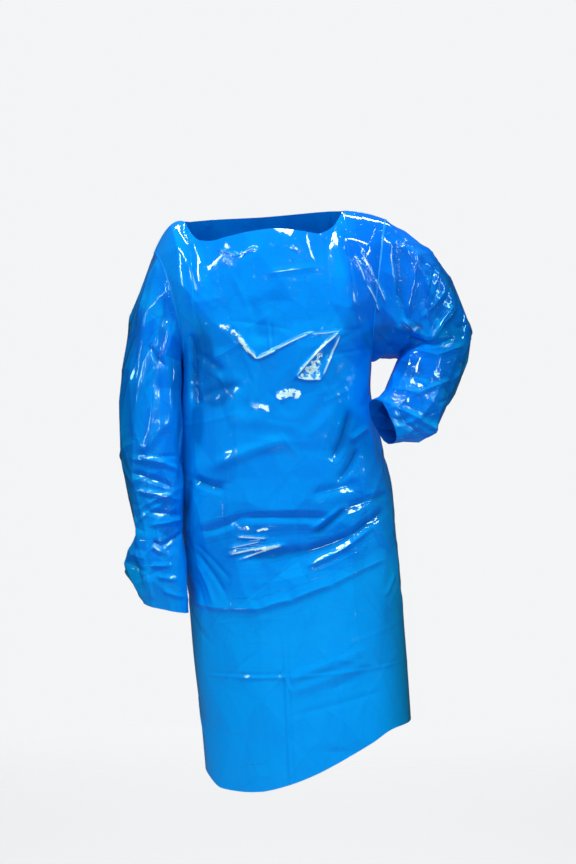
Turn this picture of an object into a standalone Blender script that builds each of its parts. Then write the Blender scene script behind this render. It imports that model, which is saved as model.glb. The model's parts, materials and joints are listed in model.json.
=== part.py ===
"""Isolation gown of thin welded film, hollow and worn, with one arm down and one hand on the hip.

Metres, +Z up, the front faces -Y. The origin is the middle of the neck opening at shoulder height.
Left and right are the wearer's, so the right sleeve is at -X.
The gown has the pieces that its maker cuts: a front, a back slit down its middle, two sleeves
and two waist ties, which a knot joins behind. Panels meet at welded seams.
"""

import math
from collections import namedtuple

import bmesh
import bpy
import numpy as np

# Driving dimensions
WALL = 0.0015
SEAM_GAP = 0.0003
BODY_HALF_WIDTH = 0.19
BODY_ROUNDNESS = 0.92
NECK_HALF_WIDTH = 0.142
NECK_FRONT_DEPTH = 0.088
NECK_BACK_DEPTH = 0.068
RIGHT_UNDERARM = (-0.147, 0.0, -0.270)
LEFT_UNDERARM = (0.193, 0.0, -0.262)
RIGHT_SHOULDER_TIP = (-0.198, 0.0, -0.065)
LEFT_SHOULDER_TIP = (0.219, 0.0, -0.006)
ARMHOLE_HALF_DEPTH = 0.081
RIGHT_ARMHOLE_HOLLOW = 0.018
LEFT_ARMHOLE_HOLLOW = 0.006
ARMHOLE_SQUARENESS = 0.9
UNDERARM_SHARPNESS = 0.65
ARMHOLE_REACH = 0.42
RIGHT_SHOULDER_BULGE = 0.020
LEFT_SHOULDER_BULGE = 0.004
SLIT_TOP = -0.150
SLIT_NOTCH = 0.004
SLIT_UPPER_BOW = 0.009
SLIT_LOWER_SPREAD = 0.022
SLIT_LOWER_LENGTH = 0.5
TIE_HEIGHT = -0.405
TIE_THICKNESS = 0.0012
TIE_COLUMNS = 6
TAIL_ROWS = 8
KNOT_SIZE = (0.040, 0.016, 0.030)
KNOT_BEVEL = 0.006

# How the film leaves the underarm line and comes over the shoulder, for a panel on the side +Y
LEVEL_STEP = 0.01
OVER_SHOULDER = np.array([0.0, -1.0, 0.15])
UP_CHEST = np.array([0.0, -0.45, 0.9])
ARRIVAL = 0.9

# Where folds die out: near seams, past their own ends and where the film turns away from their side
SEAM_FADE = 0.035
FOLD_END_FADE = 0.3
FOLD_OVERRUN = 0.12
FOLD_TURN = 1.6

# Cells of the panels' grids
PANEL_COLUMNS = 26
BODY_ROWS = 28
YOKE_ROWS = 11
SHOULDER_COLUMNS = 4
SLEEVE_ROWS = 26

# A rim's faces are cut by this direction, so that the rims of two panels at a seam are cut alike.
CUT_WAY = np.array([0.11, 0.37, 1.0])

FRONT, BACK = -1, 1
FILM = ("film", (0.0, 0.28, 0.93, 1.0), 0.22)

# The body's level sections: its left and right limbs in x, and its depths before and behind y = 0.
Section = namedtuple("Section", "height low_x high_x front back")
BODY = (
    Section(-1.030, -0.100, 0.266, 0.150, 0.146),
    Section(-0.900, -0.113, 0.263, 0.149, 0.144),
    Section(-0.800, -0.125, 0.257, 0.147, 0.141),
    Section(-0.712, -0.133, 0.250, 0.145, 0.138),
    Section(-0.620, -0.142, 0.242, 0.143, 0.133),
    Section(-0.550, -0.148, 0.235, 0.139, 0.123),
    Section(-0.480, -0.151, 0.229, 0.135, 0.112),
    Section(-0.420, -0.150, 0.214, 0.131, 0.105),
    Section(-0.360, -0.147, 0.200, 0.130, 0.103),
    Section(-0.305, -0.143, 0.190, 0.131, 0.105),
    Section(-0.262, -0.147, 0.193, 0.132, 0.109),
)

# The hem's height, from the right side seam at 0 to the left one at 1. The raised arm lifts its left end.
HemPoint = namedtuple("HemPoint", "across front back")
HEM = (
    HemPoint(0.00, -0.990, -0.990),
    HemPoint(0.06, -1.007, -0.996),
    HemPoint(0.15, -1.012, -0.998),
    HemPoint(0.28, -1.007, -0.992),
    HemPoint(0.43, -0.991, -0.978),
    HemPoint(0.57, -0.968, -0.958),
    HemPoint(0.70, -0.944, -0.939),
    HemPoint(0.80, -0.925, -0.924),
    HemPoint(0.89, -0.906, -0.910),
    HemPoint(1.00, -0.902, -0.902),
)

# The neckline's height before and behind, across from the right neck point at -1 to the left one at 1.
NeckPoint = namedtuple("NeckPoint", "across front back")
NECKLINE = (
    NeckPoint(-1.00, -0.010, -0.010),
    NeckPoint(-0.90, -0.038, -0.006),
    NeckPoint(-0.74, -0.051, -0.002),
    NeckPoint(-0.42, -0.044, 0.003),
    NeckPoint(0.13, -0.032, 0.008),
    NeckPoint(0.50, -0.036, 0.012),
    NeckPoint(0.71, -0.038, 0.014),
    NeckPoint(0.88, -0.022, 0.013),
    NeckPoint(1.00, 0.010, 0.010),
)

# A sleeve's sections from the armhole to the cuff: its outer and inner edges as seen from the front,
# the y of its middle and half its depth.
Ring = namedtuple("Ring", "outer_x outer_z inner_x inner_z middle_y half_depth")
RIGHT_SLEEVE = (
    Ring(-0.2150, -0.115, -0.1500, -0.280, -0.002, 0.079),
    Ring(-0.2300, -0.165, -0.1495, -0.295, -0.008, 0.075),
    Ring(-0.2470, -0.255, -0.1460, -0.330, -0.024, 0.066),
    Ring(-0.2570, -0.350, -0.1440, -0.385, -0.040, 0.060),
    Ring(-0.2530, -0.420, -0.1430, -0.435, -0.052, 0.055),
    Ring(-0.2430, -0.485, -0.1415, -0.492, -0.060, 0.050),
    Ring(-0.2290, -0.535, -0.1410, -0.540, -0.064, 0.045),
    Ring(-0.2240, -0.572, -0.1400, -0.575, -0.066, 0.040),
    Ring(-0.2460, -0.623, -0.1370, -0.622, -0.068, 0.047),
    Ring(-0.2270, -0.660, -0.1340, -0.665, -0.069, 0.043),
    Ring(-0.2100, -0.688, -0.1330, -0.706, -0.069, 0.035),
)
LEFT_SLEEVE = (
    Ring(0.2450, -0.022, 0.2060, -0.2610, 0.000, 0.081),
    Ring(0.2730, -0.043, 0.2190, -0.2590, 0.000, 0.080),
    Ring(0.3130, -0.079, 0.2310, -0.2560, 0.002, 0.077),
    Ring(0.3480, -0.133, 0.2390, -0.2545, 0.004, 0.072),
    Ring(0.3710, -0.190, 0.2430, -0.2555, 0.002, 0.067),
    Ring(0.3750, -0.238, 0.2425, -0.2600, -0.004, 0.062),
    Ring(0.3570, -0.281, 0.2375, -0.2680, -0.022, 0.058),
    Ring(0.3370, -0.321, 0.2310, -0.2800, -0.045, 0.055),
    Ring(0.3130, -0.359, 0.2230, -0.2960, -0.070, 0.052),
    Ring(0.2900, -0.398, 0.2140, -0.3130, -0.092, 0.047),
    Ring(0.2530, -0.403, 0.2040, -0.3240, -0.108, 0.041),
    Ring(0.2240, -0.408, 0.1900, -0.3330, -0.118, 0.035),
)

# The largest folds. Each follows an arc in the front view, bowed at its middle; depth lifts the film
# where it is positive and sinks it where it is negative.
Fold = namedtuple("Fold", "piece side x0 z0 x1 z1 bow width depth")
FOLDS = (
    Fold("front_panel", FRONT, -0.105, -0.545, 0.115, -0.525, 0.012, 0.022, 0.0080),
    Fold("front_panel", FRONT, -0.100, -0.585, 0.110, -0.560, 0.012, 0.020, -0.0060),
    Fold("front_panel", FRONT, 0.090, -0.560, 0.215, -0.505, 0.010, 0.017, -0.0070),
    Fold("front_panel", FRONT, 0.060, -0.510, 0.190, -0.475, 0.004, 0.018, 0.0050),
    Fold("front_panel", FRONT, -0.030, -0.620, 0.215, -0.535, -0.014, 0.018, -0.0070),
    Fold("front_panel", FRONT, -0.010, -0.650, 0.200, -0.572, -0.014, 0.018, 0.0060),
    Fold("front_panel", FRONT, 0.150, -0.350, 0.122, -0.440, 0.008, 0.016, -0.0070),
    Fold("front_panel", FRONT, 0.168, -0.405, 0.130, -0.480, 0.006, 0.015, -0.0055),
    Fold("front_panel", FRONT, -0.115, -0.470, -0.060, -0.490, 0.000, 0.018, -0.0050),
    Fold("front_panel", FRONT, -0.080, -0.450, 0.040, -0.400, 0.006, 0.026, 0.0050),
    Fold("front_panel", FRONT, -0.077, -0.203, -0.010, -0.264, 0.006, 0.018, 0.0055),
    Fold("front_panel", FRONT, -0.010, -0.264, 0.135, -0.212, 0.006, 0.018, 0.0055),
    Fold("front_panel", FRONT, 0.057, -0.292, 0.133, -0.214, 0.000, 0.016, 0.0050),
    Fold("front_panel", FRONT, 0.020, -0.150, 0.015, -0.235, 0.000, 0.030, -0.0050),
    Fold("front_panel", FRONT, -0.118, -0.180, -0.112, -0.320, 0.010, 0.018, -0.0080),
    Fold("front_panel", FRONT, -0.105, -0.285, -0.050, -0.330, 0.004, 0.018, -0.0050),
    Fold("front_panel", FRONT, 0.168, -0.060, 0.200, -0.180, 0.010, 0.017, 0.0060),
    Fold("front_panel", FRONT, 0.140, -0.060, 0.165, -0.190, 0.008, 0.020, -0.0050),
    Fold("front_panel", FRONT, -0.125, -0.590, -0.060, -0.680, 0.008, 0.016, -0.0055),
    Fold("front_panel", FRONT, -0.110, -0.690, 0.110, -0.660, -0.014, 0.030, 0.0055),
    Fold("front_panel", FRONT, 0.040, -0.820, 0.190, -0.760, 0.006, 0.024, 0.0050),
    Fold("front_panel", FRONT, 0.220, -0.640, 0.200, -0.820, 0.006, 0.024, -0.0050),
    Fold("back_panel", BACK, -0.120, -0.420, 0.000, -0.405, 0.004, 0.024, -0.0060),
    Fold("back_panel", BACK, 0.070, -0.405, 0.200, -0.430, 0.004, 0.024, -0.0060),
    Fold("back_panel", BACK, -0.110, -0.340, -0.020, -0.280, 0.010, 0.022, 0.0060),
    Fold("back_panel", BACK, 0.095, -0.280, 0.180, -0.350, 0.010, 0.022, 0.0060),
    Fold("back_panel", BACK, -0.080, -0.470, -0.060, -0.780, 0.008, 0.028, 0.0070),
    Fold("back_panel", BACK, -0.030, -0.500, -0.015, -0.840, 0.006, 0.026, -0.0060),
    Fold("back_panel", BACK, 0.130, -0.480, 0.150, -0.800, 0.006, 0.026, -0.0060),
    Fold("back_panel", BACK, 0.185, -0.500, 0.200, -0.760, 0.006, 0.026, 0.0060),
    Fold("back_panel", BACK, -0.110, -0.060, -0.060, -0.200, 0.010, 0.024, -0.0055),
    Fold("back_panel", BACK, 0.130, -0.040, 0.110, -0.190, 0.010, 0.024, -0.0055),
    Fold("right_sleeve", FRONT, -0.180, -0.100, -0.160, -0.300, 0.012, 0.014, -0.0065),
    Fold("right_sleeve", FRONT, -0.205, -0.090, -0.215, -0.330, 0.010, 0.018, 0.0055),
    Fold("right_sleeve", FRONT, -0.230, -0.360, -0.165, -0.460, 0.008, 0.016, 0.0050),
    Fold("right_sleeve", FRONT, -0.235, -0.470, -0.150, -0.520, -0.010, 0.014, -0.0060),
    Fold("right_sleeve", FRONT, -0.240, -0.440, -0.155, -0.490, -0.010, 0.014, 0.0050),
    Fold("right_sleeve", FRONT, -0.225, -0.575, -0.150, -0.560, -0.006, 0.012, -0.0060),
    Fold("right_sleeve", FRONT, -0.240, -0.630, -0.150, -0.620, 0.006, 0.016, 0.0050),
    Fold("right_sleeve", BACK, -0.245, -0.300, -0.150, -0.340, 0.010, 0.018, 0.0060),
    Fold("right_sleeve", BACK, -0.245, -0.370, -0.150, -0.400, 0.010, 0.016, -0.0060),
    Fold("right_sleeve", BACK, -0.240, -0.500, -0.155, -0.500, 0.008, 0.016, -0.0060),
    Fold("left_sleeve", FRONT, 0.225, -0.030, 0.240, -0.200, 0.010, 0.016, -0.0070),
    Fold("left_sleeve", FRONT, 0.272, -0.060, 0.255, -0.190, 0.008, 0.016, 0.0070),
    Fold("left_sleeve", FRONT, 0.345, -0.150, 0.290, -0.232, -0.006, 0.016, 0.0075),
    Fold("left_sleeve", FRONT, 0.290, -0.232, 0.240, -0.190, 0.000, 0.015, 0.0060),
    Fold("left_sleeve", FRONT, 0.320, -0.140, 0.262, -0.205, -0.006, 0.016, -0.0060),
    Fold("left_sleeve", FRONT, 0.365, -0.215, 0.255, -0.240, -0.008, 0.012, -0.0065),
    Fold("left_sleeve", FRONT, 0.360, -0.250, 0.250, -0.258, -0.008, 0.012, 0.0065),
    Fold("left_sleeve", FRONT, 0.340, -0.305, 0.245, -0.292, -0.004, 0.012, -0.0060),
    Fold("left_sleeve", FRONT, 0.325, -0.335, 0.235, -0.310, -0.004, 0.013, 0.0060),
    Fold("left_sleeve", FRONT, 0.300, -0.370, 0.225, -0.330, 0.000, 0.012, -0.0055),
    Fold("left_sleeve", BACK, 0.350, -0.130, 0.250, -0.210, -0.008, 0.017, 0.0070),
    Fold("left_sleeve", BACK, 0.365, -0.200, 0.255, -0.240, -0.008, 0.015, -0.0070),
    Fold("left_sleeve", BACK, 0.355, -0.270, 0.250, -0.262, -0.006, 0.014, 0.0065),
    Fold("left_sleeve", BACK, 0.330, -0.330, 0.240, -0.300, -0.004, 0.014, -0.0060),
)


def along(rows, key, column, at):
    """A column of a table at any place along its key, on a smooth curve through the rows."""
    keys = np.array([getattr(row, key) for row in rows], float)
    values = np.array([getattr(row, column) for row in rows], float)
    return curve_through(keys, values, at)


def curve_through(keys, values, at):
    """Cubic curve through values at rising keys. Values may be points, one a row."""
    at = np.clip(np.asarray(at, float), keys[0], keys[-1])
    slopes = np.gradient(values, keys, axis=0)
    cell = np.clip(np.searchsorted(keys, at, side="right") - 1, 0, len(keys) - 2)
    span = keys[cell + 1] - keys[cell]
    t = (at - keys[cell]) / span
    extra = (...,) + (None,) * (values.ndim - 1)
    t, span = t[extra], span[extra]
    start, end = values[cell], values[cell + 1]
    return hermite(t, start, slopes[cell] * span, end, slopes[cell + 1] * span)


def hermite(t, start, leave, end, arrive):
    """Cubic from start to end that leaves and arrives with the given tangents."""
    return (
        (2 * t**3 - 3 * t**2 + 1) * start
        + (t**3 - 2 * t**2 + t) * leave
        + (3 * t**2 - 2 * t**3) * end
        + (t**3 - t**2) * arrive
    )


def smooth_step(value):
    """0 to 1 with level ends."""
    value = np.clip(value, 0.0, 1.0)
    return value * value * (3 - 2 * value)


def unit(vectors):
    """The vectors with length 1."""
    return vectors / np.maximum(np.linalg.norm(vectors, axis=-1, keepdims=True), 1e-12)


def body_points(side, turn, height):
    """Points of the front or back half of the body. Turn is 0 at the right limb and 1 at the left one."""
    low = along(BODY, "height", "low_x", height)
    high = along(BODY, "height", "high_x", height)
    depth = along(BODY, "height", "front" if side == FRONT else "back", height)
    x = (low + high) / 2 - (high - low) / 2 * np.cos(math.pi * turn)
    y = side * depth * np.sin(math.pi * turn) ** BODY_ROUNDNESS
    return np.stack([x, y, height + 0 * turn], axis=-1)


def hem_height(side, turn):
    """The hem's height below each column of the body."""
    across = (1 - np.cos(math.pi * turn)) / 2
    return along(HEM, "across", "front" if side == FRONT else "back", across)


def underarm_height(turn):
    """The height at which the armholes begin, level with one underarm at each end."""
    across = (1 - np.cos(math.pi * turn)) / 2
    return RIGHT_UNDERARM[2] + (LEFT_UNDERARM[2] - RIGHT_UNDERARM[2]) * across


def skirt_points(side, rise, turn):
    """Points from the hem, rise 0, to the underarm line, rise 1."""
    low, high = hem_height(side, turn), underarm_height(turn)
    return body_points(side, turn, low + (high - low) * rise)


def swing_up(climb, sharpness):
    """1 at the underarm to -1 at the shoulder. Sharpness makes the loop pointed at the underarm."""
    share = sharpness * (1 - climb)
    return np.cos(math.pi * climb) * (1 - share) + (1 - 2 * climb) * share


def armhole_points(side, at_left, climb):
    """Half an armhole, from the underarm at climb 0 to the shoulder tip at climb 1."""
    bottom = np.array(LEFT_UNDERARM if at_left else RIGHT_UNDERARM)
    top = np.array(LEFT_SHOULDER_TIP if at_left else RIGHT_SHOULDER_TIP)
    climb = np.asarray(climb)[..., None]
    hollow = np.array([-LEFT_ARMHOLE_HOLLOW if at_left else RIGHT_ARMHOLE_HOLLOW, 0.0, 0.0])
    depth = np.array([0.0, side * ARMHOLE_HALF_DEPTH, 0.0])
    swell = np.abs(np.sin(math.pi * climb))
    line = (bottom + top) / 2 + (bottom - top) / 2 * swing_up(climb, UNDERARM_SHARPNESS)
    return line + hollow * swell + depth * swell**ARMHOLE_SQUARENESS


def top_points(side, turn):
    """The panel's top edge: right shoulder seam, neckline, left shoulder seam."""
    share = SHOULDER_COLUMNS / PANEL_COLUMNS
    swing = np.clip((turn - share) / (1 - 2 * share), 0.0, 1.0)
    across = -np.cos(math.pi * swing)
    depth = NECK_FRONT_DEPTH if side == FRONT else NECK_BACK_DEPTH
    height = along(NECKLINE, "across", "front" if side == FRONT else "back", across)
    y = side * depth * np.sin(math.pi * swing)
    neck = np.stack([NECK_HALF_WIDTH * across, y, height], axis=-1)
    from_tip = np.clip(np.minimum(turn, 1 - turn) / share, 0.0, 1.0)[..., None]
    on_right = turn[..., None] < 0.5
    tip = np.where(on_right, RIGHT_SHOULDER_TIP, LEFT_SHOULDER_TIP)
    bulge = np.where(on_right, RIGHT_SHOULDER_BULGE, LEFT_SHOULDER_BULGE)
    rise = bulge * 4 * from_tip * (1 - from_tip) * np.array([0.0, 0.0, 1.0])
    return tip + (neck - tip) * from_tip + rise


def plain_yoke_points(side, climb, turn):
    """The yoke before its sides are drawn to the armholes, as if it had none."""
    bottom = skirt_points(side, 1.0, turn)
    below = skirt_points(side, 1.0 - LEVEL_STEP, turn)
    top = top_points(side, turn)
    reach = np.linalg.norm(top - bottom, axis=-1, keepdims=True)
    share = SHOULDER_COLUMNS / PANEL_COLUMNS
    to_neck = smooth_step((np.minimum(turn, 1 - turn) / share - 0.4) / 1.6)[..., None]
    heading = (OVER_SHOULDER + (UP_CHEST - OVER_SHOULDER) * to_neck) * (1.0, side, 1.0)
    leave, arrive = unit(bottom - below) * reach, unit(heading) * reach * ARRIVAL
    return hermite(climb[..., None], bottom, leave, top, arrive)


def yoke_points(side, climb, turn):
    """Points from the underarm line, climb 0, to the top edge, climb 1."""
    points = plain_yoke_points(side, climb, turn)
    ease = smooth_step(climb / 0.4) * smooth_step((1 - climb) / 0.3)
    for at_left in (False, True):
        end = np.full_like(turn, 1.0 if at_left else 0.0)
        shift = armhole_points(side, at_left, climb) - plain_yoke_points(side, climb, end)
        from_edge = np.abs(turn - end)
        pull = 1 - smooth_step(from_edge / ARMHOLE_REACH)
        hold = 1 - smooth_step(from_edge / 0.15) * (1 - ease)
        points = points + shift * (pull * hold)[..., None]
    return points


def panel_points(side, turns):
    """Rows of points from the hem to the top edge, at the given turns, one row of turns for each row."""
    rows = []
    for row in range(BODY_ROWS + YOKE_ROWS + 1):
        turn = turns(row)
        if row <= BODY_ROWS:
            rows.append(skirt_points(side, row / BODY_ROWS, turn))
        else:
            climb = np.full_like(turn, (row - BODY_ROWS) / YOKE_ROWS)
            rows.append(yoke_points(side, climb, turn))
    return np.array(rows)


def slit_half_gap(height):
    """Half the width of the back's slit, narrow where the ties draw it in."""
    if height >= SLIT_TOP:
        return 0.0
    to_tie = min(1.0, (SLIT_TOP - height) / (SLIT_TOP - TIE_HEIGHT))
    notch = SLIT_NOTCH * smooth_step(to_tie * 5)
    upper = SLIT_UPPER_BOW * math.sin(math.pi * to_tie)
    return notch + upper + SLIT_LOWER_SPREAD * smooth_step((TIE_HEIGHT - height) / SLIT_LOWER_LENGTH)


def sleeve_points(rings, at_left):
    """Rows of closed rings from the armhole to the cuff."""
    climb = np.linspace(0.0, 1.0, YOKE_ROWS + 1)
    front = armhole_points(FRONT, at_left, climb)
    back = armhole_points(BACK, at_left, climb)
    loops = [np.concatenate([front[:-1], back[:0:-1]])]
    outer = np.array([(r.outer_x, r.middle_y, r.outer_z) for r in rings])
    inner = np.array([(r.inner_x, r.middle_y, r.inner_z) for r in rings])
    middles = np.concatenate([[loops[0].mean(axis=0)], (outer + inner) / 2])
    ahead = unit(np.gradient(middles, axis=0))
    round_loop = np.arange(2 * YOKE_ROWS)[:, None] / YOKE_ROWS
    climb = np.minimum(round_loop, 2 - round_loop)
    turn_side = np.sign(np.sin(math.pi * round_loop))
    for number, ring in enumerate(rings):
        across = (outer[number] - inner[number]) / 2
        forward = unit(np.cross(across, ahead[number + 1]))
        forward = forward * (-1 if forward[1] > 0 else 1) * ring.half_depth
        swell = turn_side * np.abs(np.sin(math.pi * climb)) ** ARMHOLE_SQUARENESS
        sharpness = UNDERARM_SHARPNESS * max(0.0, 1 - (number + 1) / 4)
        loops.append(middles[number + 1] - across * swing_up(climb, sharpness) + forward * swell)
    steps = np.linalg.norm(np.diff(middles, axis=0), axis=1)
    places = np.concatenate([[0.0], np.cumsum(steps + 0.012)])
    rows = np.linspace(0.0, places[-1], SLEEVE_ROWS + 1)
    return curve_through(places, np.array(loops), rows)


def grid_triangles(points, closed):
    """Triangles over a grid, each cell cut along its shorter diagonal. Points are rows of columns."""
    rows, columns = points.shape[:2]
    number = np.arange(rows * columns).reshape(rows, columns)
    triangles = []
    for row in range(rows - 1):
        for column in range(columns if closed else columns - 1):
            after = (column + 1) % columns
            a, b = number[row, column], number[row, after]
            d, c = number[row + 1, column], number[row + 1, after]
            flat = points.reshape(-1, 3)
            if np.linalg.norm(flat[a] - flat[c]) <= np.linalg.norm(flat[b] - flat[d]):
                triangles += [(a, b, c), (a, c, d)]
            else:
                triangles += [(a, b, d), (b, c, d)]
    return triangles


class Panel:
    """A piece of film: its grid blocks as one open surface, facing out."""

    def __init__(self, name, blocks, closed=False, flipped=False):
        self.name = name
        self.blocks = blocks
        self.points = np.concatenate([block.reshape(-1, 3) for block in blocks])
        self.triangles = []
        first = 0
        for block in blocks:
            for a, b, c in grid_triangles(block, closed):
                corners = (a, c, b) if flipped else (a, b, c)
                self.triangles.append(tuple(corner + first for corner in corners))
            first += block.shape[0] * block.shape[1]
        self.weld()

    def weld(self):
        """Joins points that coincide, as along the middle of the back above its slit."""
        rounded = np.round(self.points, 6)
        first, index = np.unique(rounded, axis=0, return_index=True, return_inverse=True)[1:]
        index = index.reshape(-1)
        self.original = index
        self.points = self.points[first]
        self.triangles = [tuple(index[list(corners)]) for corners in self.triangles]

    def block_points(self, number):
        """The welded points of one block, as rows of columns."""
        start = sum(block.shape[0] * block.shape[1] for block in self.blocks[:number])
        shape = self.blocks[number].shape
        return self.original[start : start + shape[0] * shape[1]].reshape(shape[:2])


def shared_normals(panels):
    """Each panel's normals, averaged over every panel at the seams, where points coincide."""
    total = {}
    for panel in panels:
        corners = np.array(panel.triangles)
        a, b, c = (panel.points[corners[:, i]] for i in range(3))
        faces = np.cross(b - a, c - a)
        for face, triangle in zip(faces, corners):
            for corner in triangle:
                key = tuple(np.round(panel.points[corner], 5))
                total[key] = total.get(key, 0.0) + face
    return [
        unit(np.array([total[tuple(np.round(point, 5))] for point in panel.points]))
        for panel in panels
    ]


def border_edges(panel):
    """Directed edges of the panel's border, each with the third corner of its triangle."""
    inside = {}
    for a, b, c in panel.triangles:
        for start, end, third in ((a, b, c), (b, c, a), (c, a, b)):
            inside[(start, end)] = third
    return {edge: third for edge, third in inside.items() if edge[::-1] not in inside}


def inset_of_border(panel, distance):
    """How far each border point moves into its own panel, so that seams have a gap."""
    ways = {}
    for (start, end), third in border_edges(panel).items():
        line = unit(panel.points[end] - panel.points[start])
        way = panel.points[third] - panel.points[start]
        way = unit(way - line * (way @ line))
        ways.setdefault(start, []).append(way)
        ways.setdefault(end, []).append(way)
    moves = np.zeros_like(panel.points)
    for point, found in ways.items():
        first, second = found[0], found[-1]
        moves[point] = (first + second) / (1 + first @ second) * distance
    return moves


def fold_lift(panel, normals):
    """How far the panel's folds lift each of its points along its normal."""
    lift = np.zeros(len(panel.points))
    flat = panel.points[:, [0, 2]]
    for fold in FOLDS:
        if fold.piece != panel.name:
            continue
        start, end = np.array([fold.x0, fold.z0]), np.array([fold.x1, fold.z1])
        chord = end - start
        length = np.linalg.norm(chord)
        line = chord / length
        place = (flat - start) @ line / length
        bow = fold.bow * 4 * place * (1 - place)
        away = (flat - start) @ np.array([-line[1], line[0]]) - bow
        start_fade = smooth_step((place + FOLD_OVERRUN) / FOLD_END_FADE)
        end_fade = smooth_step((1 + FOLD_OVERRUN - place) / FOLD_END_FADE)
        facing = smooth_step(normals[:, 1] * fold.side * FOLD_TURN)
        lift += fold.depth * np.exp(-((away / fold.width) ** 2)) * start_fade * end_fade * facing
    return lift


def seam_fade(panel, seam_points):
    """0 at the seams and 1 well inside them, so that folds die out where panels meet."""
    seams = np.array(list(seam_points))
    apart = np.linalg.norm(panel.points[:, None] - seams[None], axis=2).min(axis=1)
    return smooth_step(apart / SEAM_FADE)


def seam_places(panels):
    """The points that more than one panel has."""
    owners = {}
    for panel in panels:
        for point in panel.points:
            owners.setdefault(tuple(np.round(point, 5)), set()).add(panel.name)
    return [key for key, names in owners.items() if len(names) > 1]


def add_object(name, points, triangles, material):
    """A closed mesh object, shaded smooth but for its sharp borders."""
    mesh = bpy.data.meshes.new(name)
    mesh.from_pydata([tuple(map(float, p)) for p in points], [], [tuple(map(int, t)) for t in triangles])
    mesh.materials.append(material)
    mesh.shade_smooth()
    mesh.set_sharp_from_angle(angle=math.radians(50))
    mesh.update()
    thing = bpy.data.objects.new(name, mesh)
    bpy.context.scene.collection.objects.link(thing)
    return thing


def add_wall(name, outer, inner, triangles, material):
    """A wall between two like surfaces, closed along their border."""
    count = len(outer)
    edges = {(t[i], t[(i + 1) % 3]) for t in triangles for i in range(3)}
    faces = list(triangles) + [(a + count, c + count, b + count) for a, b, c in triangles]
    for a, b in edges:
        if (b, a) in edges:
            continue
        if (outer[a] - outer[b]) @ CUT_WAY > 0:
            faces += [(b, a, a + count), (b, a + count, b + count)]
        else:
            faces += [(b, a, b + count), (a, a + count, b + count)]
    return add_object(name, np.concatenate([outer, inner]), sorted(faces), material)


def film_material():
    """Glossy blue film."""
    name, colour, roughness = FILM
    material = bpy.data.materials.new(name)
    material.use_nodes = True
    shader = material.node_tree.nodes["Principled BSDF"]
    shader.inputs["Base Color"].default_value = colour
    shader.inputs["Roughness"].default_value = roughness
    shader.inputs["Metallic"].default_value = 0.0
    return material


def make_panels():
    """The four large pieces, coinciding at their seams and not yet folded."""
    whole = np.linspace(0.0, 1.0, PANEL_COLUMNS + 1)
    halves = PANEL_COLUMNS // 2
    middle_heights = panel_points(BACK, lambda row: np.array([0.5]))[:, 0, 2]

    def half_turns(at_left):
        """Turns of one half of the back, which stop at the slit's edge."""

        def turns(row):
            share = slit_half_gap(middle_heights[row]) / (math.pi * BODY_HALF_WIDTH)
            own = whole[: halves + 1] * (0.5 - share) / 0.5
            return 1 - own[::-1] if at_left else own

        return turns

    front = Panel("front_panel", [panel_points(FRONT, lambda row: whole)])
    halves_of_back = [panel_points(BACK, half_turns(False)), panel_points(BACK, half_turns(True))]
    back = Panel("back_panel", halves_of_back, flipped=True)
    right = Panel("right_sleeve", [sleeve_points(RIGHT_SLEEVE, False)], closed=True)
    left = Panel("left_sleeve", [sleeve_points(LEFT_SLEEVE, True)], closed=True, flipped=True)
    return [front, back, right, left]


def fold_panels(panels):
    """Lifts and sinks the panels' points by their folds, and leaves the seams where they are."""
    seams = seam_places(panels)
    for panel, normals in zip(panels, shared_normals(panels)):
        lift = fold_lift(panel, normals) * seam_fade(panel, seams)
        panel.points = panel.points + normals * lift[:, None]


def add_panel_walls(panels, material):
    """Gives each panel its thickness inwards, with a gap at its seams."""
    for panel, normals in zip(panels, shared_normals(panels)):
        moves = inset_of_border(panel, SEAM_GAP / 2)
        outer = panel.points + moves
        add_wall(panel.name, outer, outer - normals * WALL, panel.triangles, material)


def add_ribbon(name, panel, normals, block, rows, columns, material):
    """A strip that lies on cells of a panel's block, inset a little all round."""
    numbers = panel.block_points(block)[rows][:, columns]
    strip = Panel(name, [panel.points[numbers]], flipped=True)
    lift = np.zeros_like(strip.points)
    lift[strip.original] = normals[numbers].reshape(-1, 3)
    inner = strip.points + inset_of_border(strip, SEAM_GAP / 2) + lift * SEAM_GAP
    add_wall(name, inner + lift * TIE_THICKNESS, inner, strip.triangles, material)


def add_ties(panels, material):
    """Two waist ties on the back, the knot that joins them over the slit, and their two tails."""
    back = panels[1]
    normals = shared_normals(panels)[1]
    heights = back.points[back.block_points(0)[:, -1], 2]
    row = int(np.argmin(np.abs((heights[:-1] + heights[1:]) / 2 - TIE_HEIGHT)))
    tie_rows = slice(row, row + 2)
    tail_rows = slice(row - TAIL_ROWS, row + 1)
    last = PANEL_COLUMNS // 2
    strips = (
        ("right_tie", 0, tie_rows, slice(last - TIE_COLUMNS, last + 1)),
        ("left_tie", 1, tie_rows, slice(0, TIE_COLUMNS + 1)),
        ("right_tail", 0, tail_rows, slice(last - 1, last + 1)),
        ("left_tail", 1, tail_rows, slice(0, 2)),
    )
    for name, block, rows, columns in strips:
        add_ribbon(name, back, normals, block, rows, columns, material)
    edge = back.points[back.block_points(0)[tie_rows, -1]]
    other = back.points[back.block_points(1)[tie_rows, 0]]
    middle = (edge.mean(axis=0) + other.mean(axis=0)) / 2
    out = max(edge[:, 1].max(), other[:, 1].max()) + SEAM_GAP + TIE_THICKNESS
    add_knot(middle, out, material)


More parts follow.
